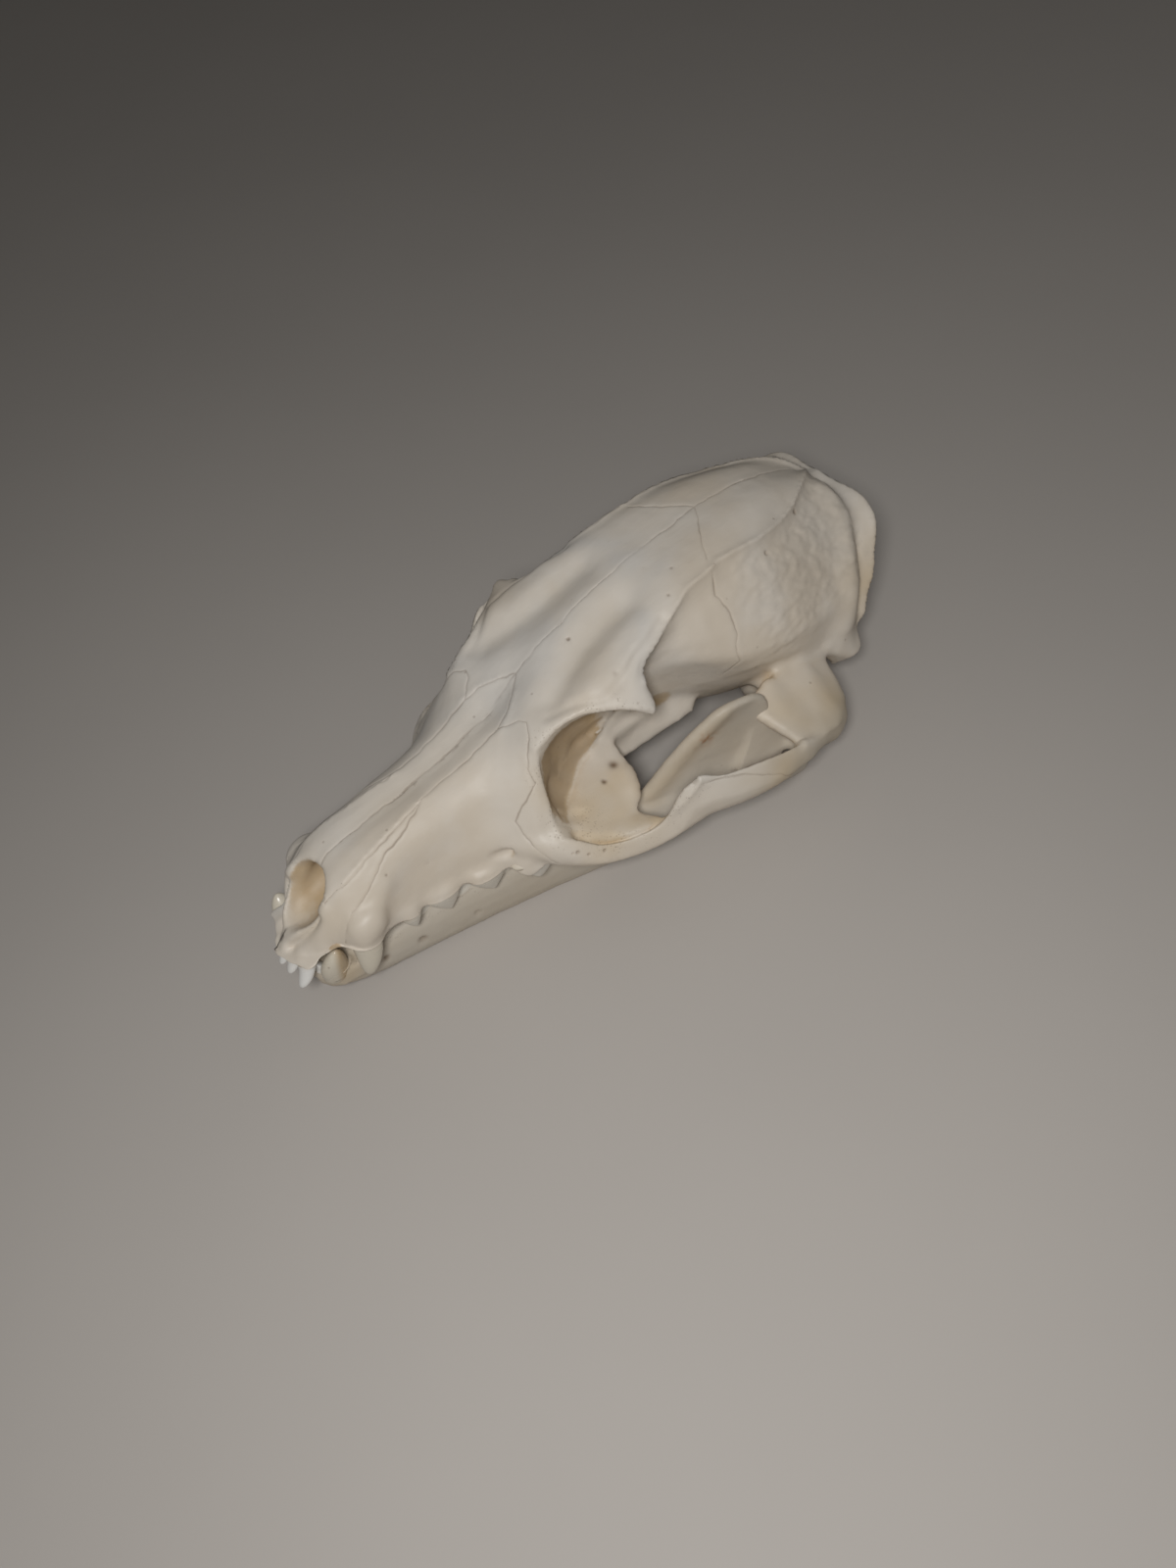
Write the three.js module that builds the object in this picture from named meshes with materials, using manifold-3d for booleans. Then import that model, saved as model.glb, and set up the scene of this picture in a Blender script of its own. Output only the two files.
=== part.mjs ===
// Skull of a young coyote with its lower jaw closed, resting on the jaw's lower edge.
// Millimetres, +Z up, the nose toward -Y, the animal's left toward +X.
// Places are first given as distance behind the front of the upper jaw, half breadth
// to the left of the midline and height above the table, and the right side is mirrored.

import * as THREE from 'three';
import { mergeVertices } from 'three/addons/utils/BufferGeometryUtils.js';
import Module from 'manifold-3d';

const wasm = await Module();
wasm.setup();

// Driving dimensions
const MIDDLE_ALONG = 77.63;
const JOINT_GAP = 0.3;
const FAR = 200;
const FACE_CUT = 61;
const CORONAL_CUT = 112;
const ARCH_FRONT_ROOT = { alongFrom: 40, alongTo: 90, aside: 25.2, top: 38 };
const ARCH_REAR_ROOT = { alongFrom: 90, alongTo: 128, aside: 27.8, top: 36 };

// Fineness of the surfaces
const RING_STEP = 3.8;
const SPAN_POINTS = 3;
const BALL_SIDES = 12;
const BALL_LEVELS = 8;
const ARCH_RINGS = 32;
const CREST_RINGS = 14;
const BAND_SIDES = 10;
const PEG_SIDES = 8;
const JAW_STEP = 4;
const JAW_SIDES = 14;
const OUTLINE_POINTS = 2;

// Lengthwise lines of the upper skull: distance, half breadth, height
const CROWN = [
  [0, 0, 21.5], [3, 0, 24.2], [8, 0, 29.4], [15, 0, 35.2], [22, 0, 37.3], [32, 0, 38.1],
  [46, 0, 39.5], [58, 0, 42.7], [69, 0, 47.5], [82, 0, 51.9], [97, 0, 55.4], [118, 0, 57.7],
  [134, 0, 55.8], [144, 0, 51.5], [149, 0, 48.9], [153, 0, 46.2],
];
const DORSAL = [
  [0, 1.6, 21.4], [8, 4.6, 29.5], [15, 5.6, 35.1], [30, 5.0, 38.1], [46, 5.4, 39.7], [58, 6.5, 43.3],
  [69, 9.5, 49.1], [82, 13.0, 52.7], [97, 9.5, 55.9], [118, 8.5, 57.4], [134, 6.0, 55.5], [145, 3.8, 51.2],
  [153, 3.2, 45.8],
];
const EDGE = [
  [0, 2.8, 21.1], [8, 8.0, 26.3], [15, 9.6, 31.7], [30, 9.2, 35.3], [46, 11.0, 36.1], [56, 13.4, 39.7],
  [61, 14.8, 43.8], [66, 16.0, 46.8], [71, 17.6, 47.9], [76, 20.6, 47.6], [80, 23.4, 45.8], [83.5, 25.8, 44.2],
  [86.5, 22.6, 47.2], [90, 18.6, 50.6], [97, 15.2, 53.9], [108, 13.6, 55.5], [120, 13.6, 54.7], [134, 10.6, 52.3],
  [146, 9.4, 47.4], [153, 8.4, 43.4],
];
const SIDE = [
  [0, 3.4, 20.8], [8, 10.2, 23.1], [15, 12.6, 26.6], [22, 11.8, 28.2], [32, 11.8, 28.6], [42, 14.0, 28.9],
  [50, 17.2, 30.5], [55, 19.0, 33.3], [58.5, 17.8, 36.9], [61.5, 14.4, 37.7], [66, 12.2, 38.1], [76, 10.8, 39.1],
  [86, 12.0, 40.9], [94, 15.6, 42.5], [102, 21.0, 41.1], [110, 24.8, 39.5], [120, 26.4, 38.1], [130, 25.6, 36.5],
  [140, 23.6, 35.0], [147, 20.5, 35.0], [153, 12.0, 39.4],
];
const WALL = [
  [0, 3.4, 20.6], [8, 10.4, 22.0], [15, 13.0, 24.4], [22, 12.2, 25.4], [32, 12.2, 25.8], [42, 14.6, 26.4],
  [50, 18.6, 28.2], [56, 22.0, 29.8], [60, 18.0, 30.6], [63, 14.4, 29.4], [67, 12.8, 28.4], [72, 12.0, 28.6],
  [77, 11.2, 31.2], [86, 11.2, 37.5], [96, 15.8, 39.0], [108, 23.6, 36.2], [120, 26.2, 34.8], [130, 25.9, 33.2],
  [140, 24.4, 31.8], [147, 20.4, 32.2], [153, 12.0, 38.4],
];
const FLOOR = [
  [0, 3.5, 20.3], [8, 10.6, 21.3], [15, 13.2, 22.8], [22, 12.4, 23.0], [32, 12.4, 23.0], [42, 15.0, 23.4],
  [50, 19.6, 24.6], [56, 23.4, 26.0], [60, 22.6, 26.4], [66, 21.0, 26.2], [71, 18.0, 26.4], [76, 12.4, 28.4],
  [86, 10.8, 34.5], [96, 14.6, 35.5], [108, 22.5, 33.2], [120, 25.8, 31.5], [130, 26.0, 30.0], [140, 24.8, 28.5],
  [147, 19.6, 29.0], [153, 11.4, 37.4],
];
const GUM = [
  [0, 3.4, 20.0], [8, 10.6, 20.2], [15, 13.0, 21.0], [22, 12.4, 20.0], [32, 12.6, 19.8], [42, 15.6, 20.2],
  [50, 19.6, 20.6], [58, 23.2, 21.0], [65, 23.6, 22.0], [71, 20.0, 23.4], [77, 12.6, 25.5], [86, 10.6, 28.5],
  [96, 13.2, 29.5], [108, 20.4, 28.1], [120, 24.4, 26.1], [130, 25.8, 23.9], [139, 24.4, 22.7],
  [146, 17.5, 23.2], [153, 8.6, 36.4],
];
const UNDER = [
  [0, 1.8, 19.9], [8, 7.2, 20.4], [15, 8.8, 21.6], [32, 9.0, 21.4], [46, 12.2, 21.9], [58, 14.2, 22.2],
  [68, 12.2, 23.3], [75, 9.2, 21.9], [82, 7.8, 18.1], [91, 7.4, 17.5], [98, 9.0, 20.1], [108, 13.0, 19.7],
  [120, 16.8, 18.5], [132, 17.0, 17.1], [141, 12.0, 17.1], [146.5, 8.0, 20.1], [153, 4.0, 35.6],
];
const BASE = [
  [0, 0, 20.0], [8, 0, 21.2], [15, 0, 23.2], [30, 0, 25.0], [46, 0, 26.6], [64, 0, 27.5], [74, 0, 27.7],
  [84, 0, 28.9], [92, 0, 26.5], [100, 0, 22.5], [110, 0, 20.1], [122, 0, 18.5], [138, 0, 17.5], [146, 0, 19.6],
  [153, 0, 35.4],
];

// Cheek arch, from the upper jaw round to the ear: distance, half breadth, height, half height, half thickness
const ARCH = [
  [42, 8.0, 25.6, 2.0, 2.0], [48, 14.6, 25.4, 2.8, 2.6], [53, 20.4, 24.6, 4.0, 3.0], [57.4, 25.0, 22.6, 3.9, 2.9],
  [62, 28.8, 20.4, 2.7, 2.4], [67.3, 31.4, 19.6, 2.5, 2.1], [74, 33.9, 20.2, 2.7, 1.9], [79, 35.6, 23.0, 4.2, 1.8],
  [83, 36.9, 26.3, 6.5, 1.7], [86.4, 38.3, 26.1, 5.6, 1.8], [90.6, 39.5, 25.3, 5.4, 1.8], [97.5, 40.8, 24.1, 5.0, 1.9],
  [107, 41.2, 20.8, 4.8, 2.0], [115.4, 39.4, 18.7, 4.3, 2.6], [120.4, 35.8, 19.4, 4.0, 4.0], [121.4, 30.4, 21.6, 3.8, 6.2],
  [120.6, 24.4, 24.6, 4.4, 8.6], [120, 17, 27.5, 5, 9],
];
const ARCH_UPRIGHT = new THREE.Vector3(0, 0, 1);
const TANGENT_REACH = 0.05;

// Lower jaw: distance, half breadth, lower edge, upper edge, half thickness
const JAW = [
  [3.5, 2.8, 9.5, 14.6, 2.9], [7, 3.5, 6.0, 15.2, 3.8], [13, 4.3, 3.2, 14.4, 4.0], [24, 6.4, 1.3, 13.6, 3.2],
  [40, 9.8, 0.2, 13.6, 3.0], [55, 13.6, -0.3, 14.2, 3.1], [66, 17.0, -0.3, 14.6, 3.1], [76, 20.8, 0.7, 16.0, 2.8],
  [84, 24.0, 2.2, 15.0, 2.1], [92, 26.2, 4.0, 13.0, 1.4],
];
const JAW_ROUNDING = { across: 0.75, upright: 0.85 };
const RAMUS_OUTLINE = [
  [70, 2.0], [82, 2.2], [96, 4.2], [105, 3.2], [111, 0.2], [116.5, -0.5], [118, 2.0], [114.5, 4.4], [110, 8.0],
  [111.4, 12.0], [113.8, 14.4], [112.8, 16.4], [109.4, 17.8], [107.6, 22.0], [108.4, 27.0], [107.4, 32.0],
  [103.6, 34.8], [97, 34.8], [90.4, 30.4], [84.4, 24.8], [79.5, 19.2], [75, 15.8], [70, 13.6],
];
const RAMUS = { thickness: 2.2, bevel: 0.7, front: 70, bodyEnd: 92, straightTo: 100, rearSpread: 0.3 };
const CONDYLE = { along: 112.6, aside: 29.0, height: 14.6, halfBreadth: 6.5, radius: 2.6 };
const HINGE_CLEARANCE = 0.6;

// Ear capsules, back of the head and nose
const BULLA = { along: 126, aside: 14.6, height: 15.1, radii: [7.2, 11.0, 8.6] };
const OCCIPITAL_CONDYLE = { along: 145.6, aside: 7.4, height: 19.4, radii: [4.6, 5.4, 5.6] };
const FORAMEN_MAGNUM = { along: 150, aside: 0, height: 24.0, radii: [6.6, 8.0, 5.4] };
const NOSE_OPENING = { along: 9.6, height: 31.2, radii: [5.9, 7.8, 6.0], tilt: 0.74 };
const CREST = [
  [138.6, 23.4, 20.0, 3.2, 1.9], [143.0, 22.0, 27.6, 4.0, 1.8], [147.6, 19.0, 34.4, 4.6, 1.7],
  [150.6, 14.4, 39.8, 4.8, 1.6], [151.6, 8.0, 43.3, 4.4, 1.6], [151.2, 0, 45.2, 4.2, 1.8],
];
const CREST_OUTWARD = new THREE.Vector3(0.6, 0.8, 0.15);
const PARAOCCIPITAL = { along: 139, aside: 19, top: 20.5, tip: 8, halfBreadth: 3, halfDepth: 3, taper: 0.7, forward: 0 };
const POSTGLENOID = {
  along: 119.4, aside: 28.8, top: 23, tip: 11.6, halfBreadth: 5.6, halfDepth: 1.7, taper: 0.4, forward: 1,
};
const PEG_LEVELS = [0, 0.55, 1];

// Teeth: distance, half breadth, height of the gum, length along the jaw, breadth, height of the crown,
// lean of the tip backward, lean of the tip outward
const UPPER_TEETH = {
  incisor1: [1.0, 1.9, 20.3, 2.6, 3.2, 3.2, -0.8, 0],
  incisor2: [1.8, 5.0, 20.2, 3.0, 3.4, 3.8, -1.0, 0.3],
  incisor3: [4.0, 7.9, 19.9, 4.0, 3.8, 4.8, -1.6, 0.8],
  canine: [14.8, 12.2, 21.6, 7.4, 5.0, 8.4, -2.6, 1.0],
  premolar1: [25.2, 12.4, 20.6, 4.6, 3.0, 4.8, 0.2, 0.2],
  premolar2: [33.0, 13.0, 20.4, 8.8, 3.2, 6.2, 0.2, 0.3],
  premolar3: [42.6, 15.8, 20.6, 9.6, 3.6, 6.4, 0.2, 0.3],
  carnassial: [53.4, 20.6, 21.2, 14.6, 4.8, 6.8, -1.2, 0.6],
  molar1: [63.0, 20.9, 22.4, 9.0, 7.2, 4.6, 0, 0.6],
  molar2: [69.6, 18.4, 23.6, 5.4, 6.4, 4.2, 0, 0.6],
};
const LOWER_TEETH = {
  incisor1: [3.2, 1.5, 14.0, 2.4, 2.2, 3.6, -0.8, 0],
  incisor2: [3.9, 3.5, 14.2, 2.6, 2.4, 3.6, -0.8, 0.2],
  incisor3: [5.2, 5.0, 14.4, 2.8, 2.4, 3.4, -0.4, 0.2],
  canine: [8.6, 6.6, 13.8, 6.0, 4.4, 4.8, -0.4, 3.2],
  premolar1: [20.6, 5.6, 13.4, 3.8, 2.8, 2.8, 0, 0],
  premolar2: [28.6, 7.2, 13.2, 7.2, 3.0, 4.2, 0, 0],
  premolar3: [37.6, 9.2, 13.2, 8.2, 3.2, 4.6, 0, 0],
  premolar4: [47.0, 11.4, 13.2, 9.0, 3.4, 5.4, 0, 0],
  carnassial: [58.8, 13.8, 13.8, 14.6, 4.2, 6.2, -1.8, -0.3],
  molar2: [70.2, 17.8, 14.6, 7.0, 4.2, 3.4, 0, 0],
};
const CROWN_SIDES = 8;
const ROOT_DEPTH = 1.8;
const ROOT_SIZE = 0.9;
const POINTED_CROWN = [[0, 1], [0.35, 0.82], [0.7, 0.5], [1, 0.1]];
const BROAD_CROWN = [[0, 1], [0.45, 0.92], [0.8, 0.6], [1, 0.24]];
const ROW_TURN = 0.55;

const BONE = { color: 0xd9d0bd, roughness: 0.55, metalness: 0 };
const ARCH_BONE = { color: 0xd6ccb6, roughness: 0.55, metalness: 0 };
const JAW_BONE = { color: 0xdcd4c3, roughness: 0.5, metalness: 0 };

// A smooth line through stations, read at any distance
function profile(stations) {
  const places = stations.map((row) => row[0]);
  const values = stations.flatMap((row) => row.slice(1));
  const width = stations[0].length - 1;
  const line = new THREE.CubicInterpolant(places, values, width, new Float64Array(width));
  return (at) => Array.from(line.evaluate(at));
}

// Skull place to model place: half breadth, distance, height
function place(along, aside, height) {
  return new THREE.Vector3(aside, along - MIDDLE_ALONG, height);
}

// Closed ring of points, one for each turn step
function ringOf(sides, pointAt) {
  return Array.from({ length: sides }, (unused, i) => pointAt((2 * Math.PI * i) / sides));
}

// Closed skin over rings that all have the same number of points
function loft(rings) {
  const count = rings[0].length;
  const points = rings.flat();
  const faces = [];
  for (let r = 0; r + 1 < rings.length; r += 1) {
    for (let i = 0; i < count; i += 1) {
      const a = r * count + i;
      const b = r * count + ((i + 1) % count);
      faces.push(a, b, a + count, b, b + count, a + count);
    }
  }
  for (const [start, flip] of [[0, true], [(rings.length - 1) * count, false]]) {
    const middle = new THREE.Vector3();
    for (let i = 0; i < count; i += 1) middle.addScaledVector(points[start + i], 1 / count);
    points.push(middle);
    for (let i = 0; i < count; i += 1) {
      const a = start + i;
      const b = start + ((i + 1) % count);
      faces.push(...(flip ? [b, a, points.length - 1] : [a, b, points.length - 1]));
    }
  }
  const geometry = new THREE.BufferGeometry().setFromPoints(points);
  geometry.setIndex(faces);
  return geometry;
}

// Solid of a closed surface, turned right side out
function solid(geometry) {
  const bare = geometry.clone();
  bare.deleteAttribute('normal');
  bare.deleteAttribute('uv');
  const merged = mergeVertices(bare, 1e-4);
  const triVerts = Uint32Array.from(merged.index.array);
  const vertProperties = Float32Array.from(merged.attributes.position.array);
  const shape = new wasm.Manifold(new wasm.Mesh({ numProp: 3, vertProperties, triVerts }));
  if (shape.volume() > 0) return shape;
  return new wasm.Manifold(new wasm.Mesh({ numProp: 3, vertProperties, triVerts: triVerts.reverse() }));
}

function united(solids) {
  return solids.reduce((all, next) => all.add(next));
}

// Surface of the largest closed piece of a solid
function surface(shape) {
  const pieces = shape.decompose().sort((a, b) => b.volume() - a.volume());
  const mesh = pieces[0].getMesh();
  const geometry = new THREE.BufferGeometry();
  const positions = Float32Array.from(mesh.vertProperties);
  geometry.setAttribute('position', new THREE.BufferAttribute(positions, mesh.numProp));
  geometry.setIndex(new THREE.BufferAttribute(Uint32Array.from(mesh.triVerts), 1));
  return geometry;
}

function mirrored(geometry) {
  return geometry.clone().scale(-1, 1, 1);
}

function bothSides(geometry) {
  return [solid(geometry), solid(mirrored(geometry))];
}

function bone(name, shape, look) {
  const geometry = surface(shape);
  geometry.computeVertexNormals();
  const node = new THREE.Mesh(geometry, new THREE.MeshStandardMaterial(look));
  node.name = name;
  return node;
}

function ball({ along, aside, height, radii }) {
  const at = place(along, aside, height);
  return new THREE.SphereGeometry(1, BALL_SIDES, BALL_LEVELS).scale(...radii).translate(at.x, at.y, at.z);
}

// Box between two places, for parting the bones
function slab(alongRange, asideRange, heightRange) {
  const low = place(alongRange[0], asideRange[0], heightRange[0]);
  const high = place(alongRange[1], asideRange[1], heightRange[1]);
  const size = high.clone().sub(low);
  const middle = low.add(high).multiplyScalar(0.5);
  return new THREE.BoxGeometry(size.x, size.y, size.z).translate(middle.x, middle.y, middle.z);
}

// Upper skull as one skin: at each distance a smooth closed section through its lines
function cranium() {
  const lines = [CROWN, DORSAL, EDGE, SIDE, WALL, FLOOR, GUM, UNDER, BASE].map(profile);
  const backEnd = CROWN.at(-1)[0];
  const steps = Math.round(backEnd / RING_STEP);
  const rings = [];
  for (let step = 0; step <= steps; step += 1) {
    const along = (backEnd * step) / steps;
    const left = lines.map((line) => place(along, ...line(along)));
    const right = left.slice(1, -1).reverse().map((p) => p.clone().setX(-p.x));
    const section = new THREE.CatmullRomCurve3([...left, ...right], true, 'centripetal');
    const count = SPAN_POINTS * section.points.length;
    rings.push(Array.from({ length: count }, (unused, i) => section.getPoint(i / count)));
  }
  return loft(rings);
}

// Band of bone along a line of stations, with its flat side toward the lean
function band(stations, rings, lean) {
  const last = stations.length - 1;
  const line = profile(stations.map((row, i) => [i, ...row]));
  const skins = [];
  for (let r = 0; r <= rings; r += 1) {
    const t = (last * r) / rings;
    const [along, aside, height, tall, thick] = line(t);
    const ahead = line(Math.min(t + TANGENT_REACH, last));
    const behind = line(Math.max(t - TANGENT_REACH, 0));
    const forward = place(...ahead.slice(0, 3)).sub(place(...behind.slice(0, 3))).normalize();
    const across = new THREE.Vector3().crossVectors(forward, lean).normalize();
    const upright = new THREE.Vector3().crossVectors(across, forward).normalize();
    skins.push(ringOf(BAND_SIDES, (turn) => {
      const point = place(along, aside, height).addScaledVector(across, thick * Math.cos(turn));
      return point.addScaledVector(upright, tall * Math.sin(turn));
    }));
  }
  return loft(skins);
}

// Tapering process that hangs down from the skull base
function peg({ along, aside, top, tip, halfBreadth, halfDepth, taper, forward }) {
  return loft(PEG_LEVELS.map((share) => ringOf(PEG_SIDES, (turn) => {
    const size = 1 - taper * share;
    const alongAt = along - forward * share + size * halfDepth * Math.cos(turn);
    return place(alongAt, aside + size * halfBreadth * Math.sin(turn), top + (tip - top) * share);
  })));
}

// Tooth crown with a sunk root: direction is +1 for teeth that point up and -1 for down
function tooth([along, aside, gum, length, breadth, crown, back, out], direction, shape) {
  const levels = [[-ROOT_DEPTH / crown, ROOT_SIZE], ...shape];
  const turnIn = ROW_TURN * Math.atan2(aside, MIDDLE_ALONG);
  return loft(levels.map(([rise, size]) => ringOf(CROWN_SIDES, (turn) => {
    const share = Math.max(rise, 0);
    const u = 0.5 * length * size * Math.cos(turn) + back * share * share;
    const v = 0.5 * breadth * size * Math.sin(turn) + out * share;
    const alongAt = along + u * Math.cos(turnIn) - v * Math.sin(turnIn);
    const asideAt = aside + u * Math.sin(turnIn) + v * Math.cos(turnIn);
    return place(alongAt, asideAt, gum + direction * rise * crown);
  })));
}

function teeth(sizes, direction) {
  return Object.entries(sizes).map(([name, row]) => (
    tooth(row, direction, name === 'canine' ? POINTED_CROWN : BROAD_CROWN)));
}

// Flat plate with rounded edges from an outline of distances and heights, leaning out with the jaw
function ramusPlate() {
  const { thickness, bevel, front, bodyEnd, straightTo, rearSpread } = RAMUS;
  const outline = new THREE.Shape();
  outline.moveTo(...RAMUS_OUTLINE[0]);
  outline.splineThru(RAMUS_OUTLINE.slice(1).map(([u, v]) => new THREE.Vector2(u, v)));
  const plate = new THREE.ExtrudeGeometry(outline, {
    depth: thickness - 2 * bevel,
    bevelThickness: bevel,
    bevelSize: bevel,
    bevelOffset: -bevel,
    bevelSegments: 1,
    curveSegments: OUTLINE_POINTS,
  });
  const jaw = profile(JAW);
  const [asideFront] = jaw(front);
  const spread = (jaw(bodyEnd)[0] - asideFront) / (bodyEnd - front);
  const positions = plate.attributes.position;
  for (let i = 0; i < positions.count; i += 1) {
    const along = positions.getX(i);
    const across = positions.getZ(i) - 0.5 * thickness + bevel;
    const straight = Math.min(along, straightTo) - front;
    const aside = asideFront + spread * (straight + rearSpread * Math.max(along - straightTo, 0));
    const at = place(along, aside + across, positions.getY(i));
    positions.setXYZ(i, at.x, at.y, at.z);
  }
  return plate;
}

function jawBody() {
  const line = profile(JAW);
  const rounded = (value, power) => Math.sign(value) * Math.abs(value) ** power;
  const rings = [];
  for (let along = JAW[0][0]; along <= JAW.at(-1)[0]; along += JAW_STEP) {
    const [aside, low, high, thick] = line(along);
    rings.push(ringOf(JAW_SIDES, (turn) => {
      const u = rounded(Math.cos(turn), JAW_ROUNDING.across);
      const v = rounded(Math.sin(turn), JAW_ROUNDING.upright);
      return place(along, aside + thick * u, 0.5 * (low + high) + 0.5 * (high - low) * v);
    }));
  }
  return loft(rings);
}

function jawHinge(clearance) {
  const radius = CONDYLE.radius + clearance;
  return ball({ ...CONDYLE, radii: [CONDYLE.halfBreadth + clearance, radius, radius] });
}

// Left lower jaw, parted from the right one at the chin and cut flat where it rests
function lowerJaw() {
  const shapes = [jawBody(), ramusPlate(), jawHinge(0), ...teeth(LOWER_TEETH, 1)];
  const leftSide = slab([-FAR, FAR], [0.5 * JOINT_GAP, FAR], [0, FAR]);
  return united(shapes.map(solid)).intersect(solid(leftSide));
}

function upperSkull() {
  const arch = band(ARCH, ARCH_RINGS, ARCH_UPRIGHT);
  const crest = band(CREST, CREST_RINGS, CREST_OUTWARD);
  const knobs = [ball(BULLA), ball(OCCIPITAL_CONDYLE), peg(PARAOCCIPITAL), peg(POSTGLENOID)];
  const paired = [...knobs, arch, crest, ...teeth(UPPER_TEETH, -1)];
  const whole = united([solid(cranium()), ...paired.flatMap(bothSides)]);
  const noseAt = place(NOSE_OPENING.along, 0, NOSE_OPENING.height);
  const nose = new THREE.SphereGeometry(1, BALL_SIDES, BALL_LEVELS).scale(...NOSE_OPENING.radii);
  nose.rotateX(NOSE_OPENING.tilt).translate(noseAt.x, noseAt.y, noseAt.z);
  const hollows = [solid(nose), solid(ball(FORAMEN_MAGNUM)), ...bothSides(jawHinge(HINGE_CLEARANCE))];
  return hollows.reduce((rest, hollow) => rest.subtract(hollow), whole);
}

// Everything outside the left arch's two root planes, grown inward by a gap
function archBoxes(gap) {
  return [ARCH_FRONT_ROOT, ARCH_REAR_ROOT].map(({ alongFrom, alongTo, aside, top }) => (
    slab([alongFrom - gap, alongTo + gap], [aside - gap, FAR], [-FAR, top + gap])));
}

const skull = upperSkull();
const archLeft = skull.intersect(united(archBoxes(0).map(solid)));
const middle = skull.subtract(united(archBoxes(JOINT_GAP).flatMap(bothSides)));
const jawLeft = lowerJaw();

function middlePart(from, to) {
  return middle.intersect(solid(slab([from, to], [-FAR, FAR], [-FAR, FAR])));
}

const half = 0.5 * JOINT_GAP;
const group = new THREE.Group();
group.add(bone('muzzle', middlePart(-FAR, FACE_CUT - half), BONE));
group.add(bone('forehead', middlePart(FACE_CUT + half, CORONAL_CUT - half), BONE));
group.add(bone('braincase', middlePart(CORONAL_CUT + half, 2 * FAR), BONE));
group.add(bone('cheek_arch_left', archLeft, ARCH_BONE));
group.add(bone('cheek_arch_right', solid(mirrored(surface(archLeft))), ARCH_BONE));
group.add(bone('mandible_left', jawLeft, JAW_BONE));
group.add(bone('mandible_right', solid(mirrored(surface(jawLeft))), JAW_BONE));

export default group;
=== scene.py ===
import math

import bmesh
import bpy
import numpy as np
from bpy.props import FloatProperty, FloatVectorProperty, IntProperty, PointerProperty
from mathutils import Matrix, Vector, noise
from mathutils.bvhtree import BVHTree


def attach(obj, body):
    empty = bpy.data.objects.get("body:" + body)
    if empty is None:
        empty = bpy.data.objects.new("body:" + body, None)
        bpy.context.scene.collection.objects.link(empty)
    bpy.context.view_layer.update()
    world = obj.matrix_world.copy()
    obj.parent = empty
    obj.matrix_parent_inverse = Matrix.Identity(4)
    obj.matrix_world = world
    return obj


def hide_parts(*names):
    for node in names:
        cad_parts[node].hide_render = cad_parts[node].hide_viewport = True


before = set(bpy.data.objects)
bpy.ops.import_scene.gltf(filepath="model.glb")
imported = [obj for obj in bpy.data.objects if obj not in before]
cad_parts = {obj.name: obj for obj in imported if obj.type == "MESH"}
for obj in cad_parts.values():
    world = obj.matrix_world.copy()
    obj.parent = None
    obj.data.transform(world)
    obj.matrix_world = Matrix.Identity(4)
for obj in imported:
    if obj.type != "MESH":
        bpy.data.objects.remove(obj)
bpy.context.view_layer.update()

bl_info = {
    "name": "Coyote skull",
    "version": (1, 0, 0),
    "blender": (4, 5, 0),
    "location": "3D View > Sidebar > Skull",
    "description": "Makes the bones, teeth and stage of a young coyote's skull around its solid model",
    "category": "Object",
}

MM = 0.001
# Distance from the front of the upper jaw back to the model's origin, in millimetres
MIDDLE_ALONG = 77.63
CRANIUM_NODES = ("muzzle", "forehead", "braincase", "cheek_arch_left", "cheek_arch_right")

# Places on the left side are written as distance behind the front of the upper jaw, distance aside from
# the midline and height above the table, in millimetres. The right side is their mirror.

# Lines where the bones of the skull meet
SUTURES = {
    "between_nasals": [(15.5, 0, 35.5), (29.8, 0, 38), (46.7, 0, 39.7), (69, 0, 47.5)],
    "between_frontals": [(69, 0, 47.5), (83, 0, 52.2), (97.6, 0, 55.5), (108, 0, 57.1), (118.8, 0, 57.7)],
    "between_parietals": [(118.8, 0, 57.7), (135.6, 0, 55.2), (146, 0, 50.6)],
    "nasal_edge": [
        (12.5, 6.4, 32.6), (20.5, 7.2, 36), (29.6, 6, 37.7), (39.2, 5, 38.9), (45.1, 4.9, 39.6), (58.8, 5.8, 43.6),
    ],
    "nasal_root": [(58.8, 5.8, 43.6), (61.9, 4.9, 45), (65.5, 2.6, 46.4), (69, 0, 47.5)],
    "premaxilla_edge": [
        (39.2, 5, 38.9), (31.6, 7.5, 37.1), (26.2, 8.4, 35.6), (20.8, 10, 33.1), (15.7, 10.9, 30.3),
        (11.5, 11.6, 25),
    ],
    "brow_front": [
        (58.9, 5.8, 43.7), (62.2, 8.3, 45.5), (63, 10.2, 46), (61.2, 13.2, 44.7), (57.8, 15.1, 40.2),
        (57.5, 17.2, 37.6),
    ],
    "cheek_front": [
        (57.5, 17.2, 37.6), (52, 17, 33), (50.7, 17.2, 31.4), (50.9, 19, 28.9), (51.4, 21.4, 27.2),
        (54.5, 24.6, 22.6),
    ],
    "coronal": [
        (118.8, 0, 57.7), (114.2, 6, 57.7), (110.8, 12, 56.4), (108, 16.8, 51.9), (108.7, 18.9, 49.1),
        (107.9, 22.1, 43.9), (106.7, 23.1, 40.9), (107.2, 23.7, 38.3), (104, 21.4, 34),
    ],
    "cheek_rear": [(83.1, 37.2, 32.1), (87.5, 39.4, 31.2), (91.7, 40.8, 29.4), (98, 42.2, 25), (104, 42.6, 20)],
}
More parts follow.
